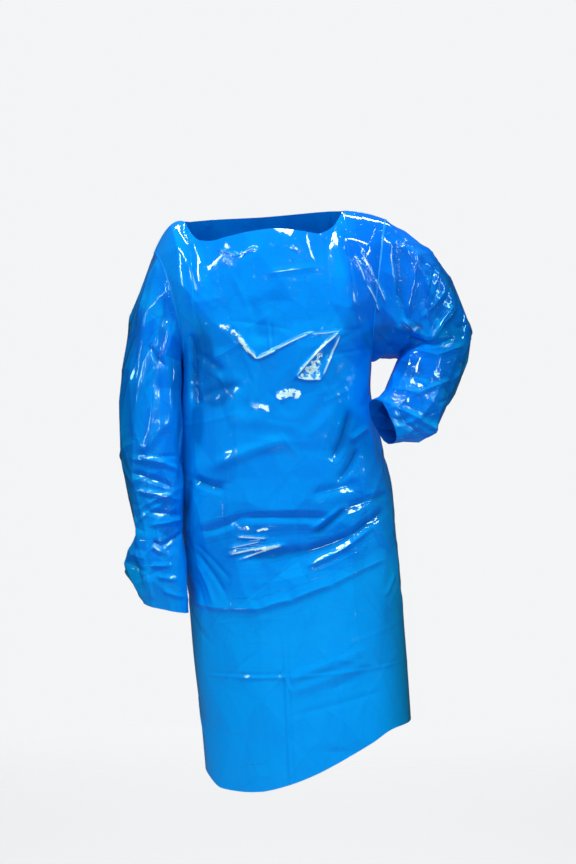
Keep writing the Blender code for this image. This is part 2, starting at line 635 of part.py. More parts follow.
def add_knot(middle, out, material):
    """A flat-backed knot over the slit, its back just clear of the ties."""
    work = bmesh.new()
    bmesh.ops.create_cube(work, size=1.0)
    for corner in work.verts:
        corner.co.x *= KNOT_SIZE[0]
        corner.co.y *= KNOT_SIZE[1]
        corner.co.z *= KNOT_SIZE[2]
    outer_edges = [edge for edge in work.edges if max(v.co.y for v in edge.verts) > 0]
    bmesh.ops.bevel(work, geom=outer_edges, offset=KNOT_BEVEL, segments=2, affect="EDGES", profile=0.6)
    bmesh.ops.triangulate(work, faces=work.faces)
    mesh = bpy.data.meshes.new("tie_knot")
    work.to_mesh(mesh)
    work.free()
    mesh.materials.append(material)
    knot = bpy.data.objects.new("tie_knot", mesh)
    knot.location = (middle[0], out + KNOT_SIZE[1] / 2 + SEAM_GAP, middle[2])
    bpy.context.scene.collection.objects.link(knot)


def main():
    """Clears the scene and builds the gown."""
    for thing in list(bpy.data.objects):
        bpy.data.objects.remove(thing)
    material = film_material()
    panels = make_panels()
    fold_panels(panels)
    add_panel_walls(panels, material)
    add_ties(panels, material)


main()
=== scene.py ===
"""Dresses the worn isolation gown: glossy blue film, welded seams and knotted waist ties.

Metres, +Z up, the front faces -Y. Left and right are the wearer's, so the right sleeve is at -X.
"""

import json
import logging
import math
from dataclasses import dataclass, field
from enum import Enum

import bmesh
import bpy
import numpy as np
from mathutils import Matrix, Vector
from mathutils.geometry import delaunay_2d_cdt
from mathutils.kdtree import KDTree

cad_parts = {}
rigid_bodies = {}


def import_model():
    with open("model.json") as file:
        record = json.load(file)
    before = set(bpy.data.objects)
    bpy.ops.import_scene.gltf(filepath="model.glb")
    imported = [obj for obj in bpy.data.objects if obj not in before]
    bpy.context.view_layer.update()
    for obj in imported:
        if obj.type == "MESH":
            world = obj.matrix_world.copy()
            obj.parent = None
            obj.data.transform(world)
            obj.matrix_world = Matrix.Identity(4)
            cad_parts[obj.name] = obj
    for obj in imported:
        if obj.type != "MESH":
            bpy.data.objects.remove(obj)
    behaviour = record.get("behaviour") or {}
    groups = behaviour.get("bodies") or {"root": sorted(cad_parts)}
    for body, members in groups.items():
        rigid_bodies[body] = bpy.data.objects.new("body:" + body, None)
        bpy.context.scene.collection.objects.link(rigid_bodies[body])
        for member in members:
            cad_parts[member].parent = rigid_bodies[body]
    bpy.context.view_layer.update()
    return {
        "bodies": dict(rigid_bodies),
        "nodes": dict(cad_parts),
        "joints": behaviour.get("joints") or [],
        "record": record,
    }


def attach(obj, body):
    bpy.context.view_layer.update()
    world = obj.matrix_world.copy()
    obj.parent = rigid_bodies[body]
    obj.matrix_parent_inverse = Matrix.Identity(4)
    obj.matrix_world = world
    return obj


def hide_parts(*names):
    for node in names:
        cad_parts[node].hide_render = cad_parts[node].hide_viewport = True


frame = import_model()

Array = np.ndarray
Rows = tuple[tuple[float, ...], ...]
Span = tuple[float, float]
Span3 = tuple[float, float, float]
Socket = bpy.types.NodeSocket
Material = bpy.types.Material
Thing = bpy.types.Object
MM = 0.001
# A point this many millimetres from a crease's line, or more, isn't told how far it is.
FAR_LINE = 15.0
LOG = logging.getLogger("gown")

# The solids' grid, and how many cells of film lie along one of its cells.
PANEL_COLUMNS = 26
BODY_ROWS = 28
YOKE_ROWS = 11
SHOULDER_COLUMNS = 4
SLEEVE_ROWS = 26
FINE = 9


class Side(Enum):
    """A side of the gown: which way it faces, and the axis that runs across it."""

    FRONT = ((0.0, -1.0, 0.0), 0)
    BACK = ((0.0, 1.0, 0.0), 0)
    RIGHT = ((-1.0, 0.0, 0.0), 1)
    LEFT = ((1.0, 0.0, 0.0), 1)

    @property
    def facing(self) -> Array:
        """The way that this side faces."""
        return np.array(self.value[0])

    @property
    def sign(self) -> float:
        """-1 at the front and 1 at the back."""
        return self.value[0][1]

    @property
    def across(self) -> int:
        """0 where x runs across this side and 1 where y does."""
        return self.value[1]


class Profile(Enum):
    """The shape of a crease across its line."""

    ROUND = "round"
    TENT = "tent"
    FLAP = "flap"
    PRESS = "press"


# The profiles' measures, in widths of the crease.
TENT_FOOT, TENT_POWER = 1.7, 1.1
FLAP_SLOPE, FLAP_LIP = 2.2, 0.45
PRESS_DIP, PRESS_DIP_AWAY = 0.6, 1.7


def smooth_step(value: Array) -> Array:
    """0 to 1 with level ends."""
    value = np.clip(value, 0.0, 1.0)
    return value * value * (3 - 2 * value)


def unit(vectors: Array) -> Array:
    """The vectors with length 1."""
    return vectors / np.maximum(np.linalg.norm(vectors, axis=-1, keepdims=True), 1e-12)


def cell_corners(grid: Array, flipped: bool = False) -> Array:
    """Each cell's four corners in a grid, the right way round for a grid that faces out.

    Args:
        grid: Rows of numbers or of points.
        flipped: Whether the corners go the other way round.

    Returns:
        What the grid holds at the corners, four for each cell.
    """
    corners = [grid[:-1, :-1], grid[:-1, 1:], grid[1:, 1:], grid[1:, :-1]]
    if flipped:
        corners = [corners[0], corners[3], corners[2], corners[1]]
    return np.stack(corners, axis=2).reshape(-1, 4, *grid.shape[2:])


def hermite(t: Array, start: Array, leave: Array, end: Array, arrive: Array) -> Array:
    """Cubic from start to end that leaves and arrives with the given tangents.

    Args:
        t: Place along the cubic, 0 to 1.
        start: Its first point.
        leave: Its tangent there.
        end: Its last point.
        arrive: Its tangent there.

    Returns:
        The points at t.
    """
    return (
        (2 * t**3 - 3 * t**2 + 1) * start
        + (t**3 - 2 * t**2 + t) * leave
        + (3 * t**2 - 2 * t**3) * end
        + (t**3 - t**2) * arrive
    )


def curve_through(keys: Array, values: Array, at: Array) -> Array:
    """Cubic curve through values at rising keys.

    Args:
        keys: The rising places of the values.
        values: Numbers or points, one for each key.
        at: The places to read.

    Returns:
        The values on the curve at those places.
    """
    at = np.clip(np.asarray(at, float), keys[0], keys[-1])
    slopes = np.gradient(values, keys, axis=0)
    cell = np.clip(np.searchsorted(keys, at, side="right") - 1, 0, len(keys) - 2)
    span = keys[cell + 1] - keys[cell]
    t = (at - keys[cell]) / span
    extra = (...,) + (None,) * (values.ndim - 1)
    t, span = t[extra], span[extra]
    return hermite(t, values[cell], slopes[cell] * span, values[cell + 1], slopes[cell + 1] * span)


@dataclass(frozen=True)
class Table:
    """Rows of measures that are read on a smooth curve, by their first column."""

    columns: str
    rows: Rows

    def read(self, column: str, at: Array) -> Array:
        """One column at any place along the first one.

        Args:
            column: The column's name.
            at: Places along the first column.

        Returns:
            The column's values there.
        """
        values = np.array(self.rows)
        return curve_through(values[:, 0], values[:, self.columns.split().index(column)], at)


BODY = Table(
    "height low_x high_x front back",
    (
        (-1.030, -0.100, 0.266, 0.150, 0.146),
        (-0.900, -0.113, 0.263, 0.149, 0.144),
        (-0.800, -0.125, 0.257, 0.147, 0.141),
        (-0.712, -0.133, 0.250, 0.145, 0.138),
        (-0.620, -0.142, 0.242, 0.143, 0.133),
        (-0.550, -0.148, 0.235, 0.139, 0.123),
        (-0.480, -0.151, 0.229, 0.135, 0.112),
        (-0.420, -0.150, 0.214, 0.131, 0.105),
        (-0.360, -0.147, 0.200, 0.130, 0.103),
        (-0.305, -0.143, 0.190, 0.131, 0.105),
        (-0.262, -0.147, 0.193, 0.132, 0.109),
    ),
)
HEM = Table(
    "across front back",
    (
        (0.00, -0.990, -0.990),
        (0.06, -1.007, -0.996),
        (0.15, -1.012, -0.998),
        (0.28, -1.007, -0.992),
        (0.43, -0.991, -0.978),
        (0.57, -0.968, -0.958),
        (0.70, -0.944, -0.939),
        (0.80, -0.925, -0.924),
        (0.89, -0.906, -0.910),
        (1.00, -0.902, -0.902),
    ),
)
NECKLINE = Table(
    "across front back",
    (
        (-1.00, -0.010, -0.010),
        (-0.90, -0.038, -0.006),
        (-0.74, -0.051, -0.002),
        (-0.42, -0.044, 0.003),
        (0.13, -0.032, 0.008),
        (0.50, -0.036, 0.012),
        (0.71, -0.038, 0.014),
        (0.88, -0.022, 0.013),
        (1.00, 0.010, 0.010),
    ),
)

# A sleeve's rings: outer x, outer z, inner x, inner z, the y of the middle, half the depth.
RIGHT_RINGS = (
    (-0.2150, -0.115, -0.1500, -0.280, -0.002, 0.079),
    (-0.2300, -0.165, -0.1495, -0.295, -0.008, 0.075),
    (-0.2470, -0.255, -0.1460, -0.330, -0.024, 0.066),
    (-0.2570, -0.350, -0.1440, -0.385, -0.040, 0.060),
    (-0.2530, -0.420, -0.1430, -0.435, -0.052, 0.055),
    (-0.2430, -0.485, -0.1415, -0.492, -0.060, 0.050),
    (-0.2290, -0.535, -0.1410, -0.540, -0.064, 0.045),
    (-0.2240, -0.572, -0.1400, -0.575, -0.066, 0.040),
    (-0.2460, -0.623, -0.1370, -0.622, -0.068, 0.047),
    (-0.2270, -0.660, -0.1340, -0.665, -0.069, 0.043),
    (-0.2100, -0.688, -0.1330, -0.706, -0.069, 0.035),
)
LEFT_RINGS = (
    (0.2450, -0.022, 0.2060, -0.2610, 0.000, 0.081),
    (0.2730, -0.043, 0.2190, -0.2590, 0.000, 0.080),
    (0.3130, -0.079, 0.2310, -0.2560, 0.002, 0.077),
    (0.3480, -0.133, 0.2390, -0.2545, 0.004, 0.072),
    (0.3710, -0.190, 0.2430, -0.2555, 0.002, 0.067),
    (0.3750, -0.238, 0.2425, -0.2600, -0.004, 0.062),
    (0.3570, -0.281, 0.2375, -0.2680, -0.022, 0.058),
    (0.3370, -0.321, 0.2310, -0.2800, -0.045, 0.055),
    (0.3130, -0.359, 0.2230, -0.2960, -0.070, 0.052),
    (0.2900, -0.398, 0.2140, -0.3130, -0.092, 0.047),
    (0.2530, -0.403, 0.2040, -0.3240, -0.108, 0.041),
    (0.2240, -0.408, 0.1900, -0.3330, -0.118, 0.035),
)


@dataclass(frozen=True)
class Armhole:
    """One armhole's loop, from the underarm to the tip of the shoulder."""

    underarm: Span3
    tip: Span3
    hollow: float
    bulge: float
    half_depth: float = 0.081
    squareness: float = 0.9
    sharpness: float = 0.65

    def swing(self, climb: Array, sharpness: float) -> Array:
        """1 at the underarm to -1 at the shoulder, pointed at the underarm as sharpness says."""
        share = sharpness * (1 - climb)
        return np.cos(math.pi * climb) * (1 - share) + (1 - 2 * climb) * share

    def points(self, side: Side, climb: Array) -> Array:
        """Points of half the loop.

        Args:
            side: The front or back half.
            climb: 0 at the underarm to 1 at the shoulder tip.

        Returns:
            The points, one for each climb.
        """
        bottom, top = np.array(self.underarm), np.array(self.tip)
        climb = np.asarray(climb)[..., None]
        swell = np.abs(np.sin(math.pi * climb))
        line = (bottom + top) / 2 + (bottom - top) / 2 * self.swing(climb, self.sharpness)
        sideways = np.array([self.hollow, 0.0, 0.0])
        depth = np.array([0.0, side.sign * self.half_depth, 0.0])
        return line + sideways * swell + depth * swell**self.squareness


@dataclass(frozen=True)
class GownForm:
    """The gown's worn form, the same as its solids have."""

    right: Armhole = Armhole((-0.147, 0.0, -0.270), (-0.198, 0.0, -0.065), 0.018, 0.020)
    left: Armhole = Armhole((0.193, 0.0, -0.262), (0.219, 0.0, -0.006), -0.006, 0.004)
    roundness: float = 0.92
    half_width: float = 0.19
    neck_half_width: float = 0.142
    neck_depths: Span = (0.088, 0.068)
    armhole_reach: float = 0.42
    level_step: float = 0.01
    arrival: float = 0.9
    slit_top: float = -0.150
    slit_notch: float = 0.004
    slit_bow: float = 0.009
    slit_spread: float = 0.022
    slit_length: float = 0.5
    slit_opening: float = 5.0
    tie_height: float = -0.405
    over_shoulder: Span3 = (0.0, -1.0, 0.15)
    up_chest: Span3 = (0.0, -0.45, 0.9)
    shoulder_end: float = 0.4
    neck_blend: float = 1.6
    ease_low: float = 0.4
    ease_high: float = 0.3
    edge_hold: float = 0.15
    pointed_rings: int = 4
    ring_margin: float = 0.012

    def body(self, side: Side, turn: Array, height: Array) -> Array:
        """Points of half of the body.

        Args:
            side: The front or back half.
            turn: 0 at the right limb to 1 at the left one.
            height: The points' heights.

        Returns:
            The points.
        """
        low, high = BODY.read("low_x", height), BODY.read("high_x", height)
        depth = BODY.read("front" if side is Side.FRONT else "back", height)
        x = (low + high) / 2 - (high - low) / 2 * np.cos(math.pi * turn)
        y = side.sign * depth * np.sin(math.pi * turn) ** self.roundness
        return np.stack([x, y, height + 0 * turn], axis=-1)

    def skirt(self, side: Side, rise: Array, turn: Array) -> Array:
        """Points between the hem and the underarm line.

        Args:
            side: The front or back half.
            rise: 0 at the hem to 1 at the underarm line.
            turn: 0 at the right limb to 1 at the left one.

        Returns:
            The points.
        """
        across = (1 - np.cos(math.pi * turn)) / 2
        low = HEM.read("front" if side is Side.FRONT else "back", across)
        top = self.right.underarm[2] + (self.left.underarm[2] - self.right.underarm[2]) * across
        return self.body(side, turn, low + (top - low) * rise)

    def top_edge(self, side: Side, turn: Array) -> Array:
        """The top edge: right shoulder seam, neckline, left shoulder seam.

        Args:
            side: The front or back half.
            turn: 0 at the right shoulder's tip to 1 at the left one's.

        Returns:
            The points.
        """
        share = SHOULDER_COLUMNS / PANEL_COLUMNS
        swing = np.clip((turn - share) / (1 - 2 * share), 0.0, 1.0)
        across = -np.cos(math.pi * swing)
        front = side is Side.FRONT
        height = NECKLINE.read("front" if front else "back", across)
        y = side.sign * self.neck_depths[0 if front else 1] * np.sin(math.pi * swing)
        neck = np.stack([self.neck_half_width * across, y, height], axis=-1)
        from_tip = np.clip(np.minimum(turn, 1 - turn) / share, 0.0, 1.0)[..., None]
        on_right = turn[..., None] < 0.5
        tip = np.where(on_right, self.right.tip, self.left.tip)
        bulge = np.where(on_right, self.right.bulge, self.left.bulge)
        rise = bulge * 4 * from_tip * (1 - from_tip) * np.array([0.0, 0.0, 1.0])
        return tip + (neck - tip) * from_tip + rise

    def plain_yoke(self, side: Side, climb: Array, turn: Array) -> Array:
        """The yoke before its sides are drawn to the armholes.

        Args:
            side: The front or back half.
            climb: 0 at the underarm line to 1 at the top edge.
            turn: 0 at the right side to 1 at the left one.

        Returns:
            The points.
        """
        bottom = self.skirt(side, np.ones_like(turn), turn)
        below = self.skirt(side, np.full_like(turn, 1 - self.level_step), turn)
        top = self.top_edge(side, turn)
        reach = np.linalg.norm(top - bottom, axis=-1, keepdims=True)
        share = SHOULDER_COLUMNS / PANEL_COLUMNS
        from_side = np.minimum(turn, 1 - turn) / share
        to_neck = smooth_step((from_side - self.shoulder_end) / self.neck_blend)[..., None]
        over_shoulder, up_chest = np.array(self.over_shoulder), np.array(self.up_chest)
        heading = (over_shoulder + (up_chest - over_shoulder) * to_neck) * (1.0, side.sign, 1.0)
        leave, arrive = unit(bottom - below) * reach, unit(heading) * reach * self.arrival
        return hermite(climb[..., None], bottom, leave, top, arrive)

    def yoke(self, side: Side, climb: Array, turn: Array) -> Array:
        """Points between the underarm line and the top edge.

        Args:
            side: The front or back half.
            climb: 0 at the underarm line to 1 at the top edge.
            turn: 0 at the right armhole to 1 at the left one.

        Returns:
            The points.
        """
        points = self.plain_yoke(side, climb, turn)
        ease = smooth_step(climb / self.ease_low) * smooth_step((1 - climb) / self.ease_high)
        for armhole, end in ((self.right, 0.0), (self.left, 1.0)):
            edge = self.plain_yoke(side, climb, np.full_like(turn, end))
            from_edge = np.abs(turn - end)
            pull = 1 - smooth_step(from_edge / self.armhole_reach)
            hold = 1 - smooth_step(from_edge / self.edge_hold) * (1 - ease)
            points = points + (armhole.points(side, climb) - edge) * (pull * hold)[..., None]
        return points

    def slit_share(self, height: Array) -> Array:
        """How much of a half's turn the back's slit takes.

        Args:
            height: The heights to read.

        Returns:
            The share at each height.
        """
        to_tie = np.clip((self.slit_top - height) / (self.slit_top - self.tie_height), 0.0, 1.0)
        notch = self.slit_notch * smooth_step(to_tie * self.slit_opening)
        gap = notch + self.slit_bow * np.sin(math.pi * to_tie)
        below = smooth_step((self.tie_height - height) / self.slit_length)
        gap = np.where(height >= self.slit_top, 0.0, gap + self.slit_spread * below)
        return gap / (math.pi * self.half_width)

    def panel(self, side: Side, turns: Array) -> Array:
        """Rows of points from the hem to the top edge.

        Args:
            side: The front or back half.
            turns: One row of turns for all of the rows, or a row for each.

        Returns:
            The points.
        """
        skirt_rows, yoke_rows = BODY_ROWS * FINE, YOKE_ROWS * FINE
        turns = np.broadcast_to(turns, (skirt_rows + yoke_rows + 1, turns.shape[-1]))
        rise = np.arange(skirt_rows + 1)[:, None] / skirt_rows
        climb = np.arange(1, yoke_rows + 1)[:, None] / yoke_rows
        low, high = turns[: skirt_rows + 1], turns[skirt_rows + 1 :]
        skirt = self.skirt(side, rise + 0 * low, low)
        return np.concatenate([skirt, self.yoke(side, climb + 0 * high, high)])

    def sleeve(self, rings: Rows, armhole: Armhole) -> Array:
        """Rows of closed rings from the armhole to the cuff.

        Args:
            rings: The sleeve's sections.
            armhole: The armhole it is joined to.

        Returns:
            The points, by row and round each ring from the underarm by the front.
        """
        count = YOKE_ROWS * FINE
        climb = np.linspace(0.0, 1.0, count + 1)
        front, back = armhole.points(Side.FRONT, climb), armhole.points(Side.BACK, climb)
        loops = [np.concatenate([front[:-1], back[:0:-1]])]
        table = np.array(rings)
        outer, inner = table[:, [0, 4, 1]], table[:, [2, 4, 3]]
        middles = np.concatenate([[loops[0].mean(axis=0)], (outer + inner) / 2])
        ahead = unit(np.gradient(middles, axis=0))
        round_loop = np.arange(2 * count)[:, None] / count
        climb = np.minimum(round_loop, 2 - round_loop)
        swell = np.abs(np.sin(math.pi * climb)) ** armhole.squareness
        swell = swell * np.sign(np.sin(math.pi * round_loop))
        for number, ring in enumerate(rings):
            across = (outer[number] - inner[number]) / 2
            forward = unit(np.cross(across, ahead[number + 1]))
            forward = forward * (-1 if forward[1] > 0 else 1) * ring[5]
            sharpness = armhole.sharpness * max(0.0, 1 - (number + 1) / self.pointed_rings)
            swing = armhole.swing(climb, sharpness)
            loops.append(middles[number + 1] - across * swing + forward * swell)
        steps = np.linalg.norm(np.diff(middles, axis=0), axis=1)
        places = np.concatenate([[0.0], np.cumsum(steps + self.ring_margin)])
        rows = np.linspace(0.0, places[-1], SLEEVE_ROWS * FINE + 1)
        return curve_through(places, np.array(loops), rows)


@dataclass(frozen=True)
class FilmTone:
    """How deep the film's colour is, 0 to 1, where it hangs slack and where its edge deepens."""

    sleeve: float = 0.62
    left_sleeve_extra: float = 0.16
    cuff_less: float = 0.4
    cuff_top: float = -0.52
    cuff_blend: float = 0.10
    panel: float = 0.36
    shoulder_extra: float = 0.55
    shoulder_inside: float = 0.12
    shoulder_bottom: float = -0.30
    shoulder_blend: Span = (0.06, 0.12)
    loose_line: float = -0.69
    loose_line_rise: float = 0.08
    loose_line_reach: float = 0.2
    loose_blend: float = 0.05
    rim_middle: float = 0.045
    sleeve_rim: float = 0.225
    panel_rim: float = 0.14
    rim_blend: float = 0.07
    rim_top: float = -0.28
    rim_top_blend: float = 0.2
    least_slack: float = 0.30
    waist_slack: float = 0.55
    waist: float = -0.57
    waist_reach: float = 0.09

    def shade(self, code: str, x: Array, height: Array) -> Array:
        """How deep the colour is.

        Args:
            code: The piece's code.
            x: Where its points lie across the gown.
            height: Their heights.

        Returns:
            The depth at each point.
        """
        if code in "RL":
            shade = self.sleeve - self.cuff_less * smooth_step((self.cuff_top - height) / self.cuff_blend)
            return shade + self.left_sleeve_extra if code == "L" else shade
        across, up = self.shoulder_blend
        on_shoulder = smooth_step((x - self.shoulder_inside) / across)
        on_shoulder = self.shoulder_extra * on_shoulder * smooth_step((height - self.shoulder_bottom) / up)
        loose = self.loose_line + self.loose_line_rise * smooth_step(x / self.loose_line_reach)
        return (self.panel + on_shoulder) * smooth_step((height - loose) / self.loose_blend + 0.5)

    def rim(self, code: str, x: Array, height: Array) -> Array:
        """How near the gown's outer sides the film lies, 0 to 1.

        Args:
            code: The piece's code.
            x: Where its points lie across the gown.
            height: Their heights.

        Returns:
            The nearness of each point.
        """
        half = self.sleeve_rim if code in "RL" else self.panel_rim
        rim = smooth_step((np.abs(x - self.rim_middle) - half) / self.rim_blend)
        return rim if code in "RL" else rim * smooth_step((self.rim_top - height) / self.rim_top_blend)

    def slack(self, code: str, height: Array) -> Array:
        """How loosely the film hangs, 0 to 1, most at a panel's waist and all over a sleeve.

        Args:
            code: The piece's code.
            height: The heights of its points.

        Returns:
            The slack at each point.
        """
        if code in "RL":
            return np.full(len(height), 1.0)
        far = (height - self.waist) / self.waist_reach
        return self.least_slack + self.waist_slack * np.exp(-(far**2))


@dataclass
class FilmPiece:
    """A cut piece of film on its fine grid, as one open surface that faces out."""

    name: str
    code: str
    blocks: list[Array]
    closed: bool = False
    flipped: bool = False
    points: Array = field(init=False)
    quads: Array = field(init=False)
    flat: Array = field(init=False)
    numbers: list[Array] = field(init=False)
    trough_shade: Array = field(init=False)
    crinkle_and_glint: Array = field(init=False)
    shade: Array = field(init=False)
    line: Array = field(init=False)
    edge: Array = field(init=False)
    slack: Array = field(init=False)
    rim: Array = field(init=False)

    def __post_init__(self) -> None:
        """Joins points that coincide, as along the middle of the back above its slit."""
        raw = np.concatenate([block.reshape(-1, 3) for block in self.blocks])
        _, first, index = np.unique(np.round(raw, 6), axis=0, return_index=True, return_inverse=True)
        index = index.reshape(-1)
        self.points = raw[first]
        self.numbers, quads, flat, start = [], [], [], 0
        for block in self.blocks:
            rows, columns = block.shape[:2]
            numbers = index[start : start + rows * columns].reshape(rows, columns)
            self.numbers.append(numbers)
            start += rows * columns
            quads.append(cell_corners(self.wrapped(numbers), self.flipped))
            flat.append(self.flat_cells(block))
        self.quads, self.flat = np.concatenate(quads), np.concatenate(flat)
        self.trough_shade = np.zeros(len(self.points))
        self.crinkle_and_glint = np.zeros(len(self.points))
        self.line = np.full(len(self.points), FAR_LINE)
        self.edge = np.zeros(len(self.points))
        x, height, tone = self.points[:, 0], self.points[:, 2], FilmTone()
        self.shade = tone.shade(self.code, x, height)
        self.slack = tone.slack(self.code, height)
        self.rim = tone.rim(self.code, x, height)

    def wrapped(self, grid: Array) -> Array:
        """A grid with its first column again at the end, where the piece is a tube."""
        return np.concatenate([grid, grid[:, :1]], axis=1) if self.closed else grid

    def flat_cells(self, block: Array) -> Array:
        """Where each cell's corners lie on the flat film.

        Args:
            block: A grid of points.

        Returns:
            Four places for each cell, in metres.
        """
        block = self.wrapped(block)
        along = np.linalg.norm(np.diff(block, axis=0), axis=-1).mean(axis=1)
        across = np.linalg.norm(np.diff(block, axis=1), axis=-1).mean(axis=0)
        v = np.concatenate([[0.0], np.cumsum(along)])[:, None] + 0 * block[..., 0]
        u = np.concatenate([[0.0], np.cumsum(across)])[None] + 0 * block[..., 0]
        return cell_corners(np.stack([u, v], axis=-1), self.flipped)

    def faces(self) -> Array:
        """Each face's normal, as long as twice its area."""
        a, b, c, d = (self.points[self.quads[:, i]] for i in range(4))
        return np.cross(c - a, d - b)

    def area(self) -> float:
        """The film's area in square metres."""
        return float(np.linalg.norm(self.faces(), axis=1).sum() / 2)


def shared_normals(pieces: list[FilmPiece]) -> list[Array]:
    """Each piece's normals, averaged over every piece at the seams, where points coincide.

    Args:
        pieces: All of the film.

    Returns:
        The normals at each piece's points.
    """
    stacked = np.concatenate([piece.points for piece in pieces])
    index = np.unique(np.round(stacked, 5), axis=0, return_inverse=True)[1].reshape(-1)
    total, start, shares = np.zeros((index.max() + 1, 3)), 0, []
    for piece in pieces:
        own = index[start : start + len(piece.points)]
        shares.append(own)
        start += len(piece.points)
        faces = piece.faces()
        for corner in range(4):
            np.add.at(total, own[piece.quads[:, corner]], faces)
    return [unit(total[own]) for own in shares]


@dataclass(frozen=True)
class CreaseSet:
    """Creases of one profile on one side of some pieces.

    Each row is x0, z0, x1, z1, bow, width and depth in millimetres, with y for x on the left and
    right sides. A crease follows an arc from its first point to its second. Its depth lifts the
    film where it is positive and sinks it where it is negative.
    """

    pieces: str
    side: Side
    profile: Profile
    rows: Rows
    crinkle_and_glint: float = 0.0

    def shape(self, away: Array) -> Array:
        """The crease's section.

        Args:
            away: Distances from its line, in widths.

        Returns:
            Its height there, at most 1.
        """
        if self.profile is Profile.TENT:
            return np.maximum(0.0, 1 - np.abs(away) / TENT_FOOT) ** TENT_POWER
        if self.profile is Profile.FLAP:
            return np.where(away > 0, np.exp(-away / FLAP_SLOPE), np.exp(-((away / FLAP_LIP) ** 2)))
        dip = PRESS_DIP if self.profile is Profile.PRESS else 0.0
        return np.exp(-(away**2)) - dip * np.exp(-((away - PRESS_DIP_AWAY) ** 2))


@dataclass(frozen=True)
class Scatter:
    """Sharp creases at seeded places, between those that are placed one by one.

    Lengths are in millimetres and angles in degrees. The box is x0, z0, x1, z1, as in a CreaseSet.
    """

    pieces: str
    side: Side
    box: tuple[float, float, float, float]
    count: int
    heading: float
    spread: float
    lengths: Span
    widths: Span
    depths: Span
    seed: int
    bow: float = 0.08

    def crease_set(self) -> CreaseSet:
        """Draws the creases.

        Returns:
            Them, as a set.
        """
        dice = np.random.default_rng(self.seed)
        rows = []
        for _ in range(self.count):
            x, z = dice.uniform(self.box[0], self.box[2]), dice.uniform(self.box[1], self.box[3])
            way = math.radians(dice.normal(self.heading, self.spread))
            half = dice.uniform(*self.lengths) / 2
            width, depth = dice.uniform(*self.widths), dice.uniform(*self.depths)
            depth *= dice.choice([-1.0, 1.0])
            dx, dz = math.cos(way) * half, math.sin(way) * half
            bow = dice.uniform(-self.bow, self.bow) * half
            rows.append((x - dx, z - dz, x + dx, z + dz, bow, width, depth))
        return CreaseSet(self.pieces, self.side, Profile.TENT, tuple(rows))


# The folds that the solids have too.
FOLDS = (
    CreaseSet("F", Side.FRONT, Profile.TENT, (
        (-105, -545, 115, -525, 12, 22, 8.0),
        (-100, -585, 110, -560, 12, 20, -6.0),
        (90, -560, 215, -505, 10, 17, -7.0),
        (60, -510, 190, -475, 4, 18, 5.0),
        (-30, -620, 215, -535, -14, 18, -7.0),
        (-10, -650, 200, -572, -14, 18, 6.0),
        (150, -350, 122, -440, 8, 16, -7.0),
        (168, -405, 130, -480, 6, 15, -5.5),
        (-115, -470, -60, -490, 0, 18, -5.0),
        (-80, -450, 40, -400, 6, 26, 5.0),
        (-77, -203, -10, -264, 6, 18, 5.5),
        (-10, -264, 135, -212, 6, 18, 5.5),
        (57, -292, 133, -214, 0, 16, 5.0),
        (20, -150, 15, -235, 0, 30, -5.0),
        (-118, -180, -112, -320, 10, 18, -8.0),
        (-105, -285, -50, -330, 4, 18, -5.0),
        (168, -60, 200, -180, 10, 17, 6.0),
        (140, -60, 165, -190, 8, 20, -5.0),
        (-125, -590, -60, -680, 8, 16, -5.5),
        (-110, -690, 110, -660, -14, 30, 5.5),
        (40, -820, 190, -760, 6, 24, 5.0),
        (220, -640, 200, -820, 6, 24, -5.0),
    )),
    CreaseSet("B", Side.BACK, Profile.TENT, (
        (-120, -420, 0, -405, 4, 24, -6.0),
        (70, -405, 200, -430, 4, 24, -6.0),
        (-110, -340, -20, -280, 10, 22, 6.0),
        (95, -280, 180, -350, 10, 22, 6.0),
        (-80, -470, -60, -780, 8, 28, 7.0),
        (-30, -500, -15, -840, 6, 26, -6.0),
        (130, -480, 150, -800, 6, 26, -6.0),
        (185, -500, 200, -760, 6, 26, 6.0),
        (-110, -60, -60, -200, 10, 24, -5.5),
        (130, -40, 110, -190, 10, 24, -5.5),
    )),
    CreaseSet("FB", Side.RIGHT, Profile.ROUND, ((-60, -332, 60, -332, 0, 28, 7.5),)),
    CreaseSet("R", Side.FRONT, Profile.TENT, (
        (-180, -100, -160, -300, 12, 14, -6.5),
        (-205, -90, -215, -330, 10, 18, 5.5),
        (-230, -360, -165, -460, 8, 16, 5.0),
        (-235, -470, -150, -520, -10, 14, -6.0),
        (-240, -440, -155, -490, -10, 14, 5.0),
        (-225, -575, -150, -560, -6, 12, -6.0),
        (-240, -630, -150, -620, 6, 16, 5.0),
    )),
    CreaseSet("R", Side.BACK, Profile.TENT, (
        (-245, -300, -150, -340, 10, 18, 6.0),
        (-245, -370, -150, -400, 10, 16, -6.0),
        (-240, -500, -155, -500, 8, 16, -6.0),
    )),
    CreaseSet("L", Side.FRONT, Profile.TENT, (
        (225, -30, 240, -200, 10, 16, -7.0),
        (272, -60, 255, -190, 8, 16, 7.0),
        (345, -150, 290, -232, -6, 16, 7.5),
        (290, -232, 240, -190, 0, 15, 6.0),
        (320, -140, 262, -205, -6, 16, -6.0),
        (365, -215, 255, -240, -8, 12, -6.5),
        (360, -250, 250, -258, -8, 12, 6.5),
        (340, -305, 245, -292, -4, 12, -6.0),
        (325, -335, 235, -310, -4, 13, 6.0),
        (300, -370, 225, -330, 0, 12, -5.5),
    )),
    CreaseSet("L", Side.BACK, Profile.TENT, (
        (350, -130, 250, -210, -8, 17, 7.0),
        (365, -200, 255, -240, -8, 15, -7.0),
        (355, -270, 250, -262, -6, 14, 6.5),
        (330, -330, 240, -300, -4, 14, -6.0),
    )),
)
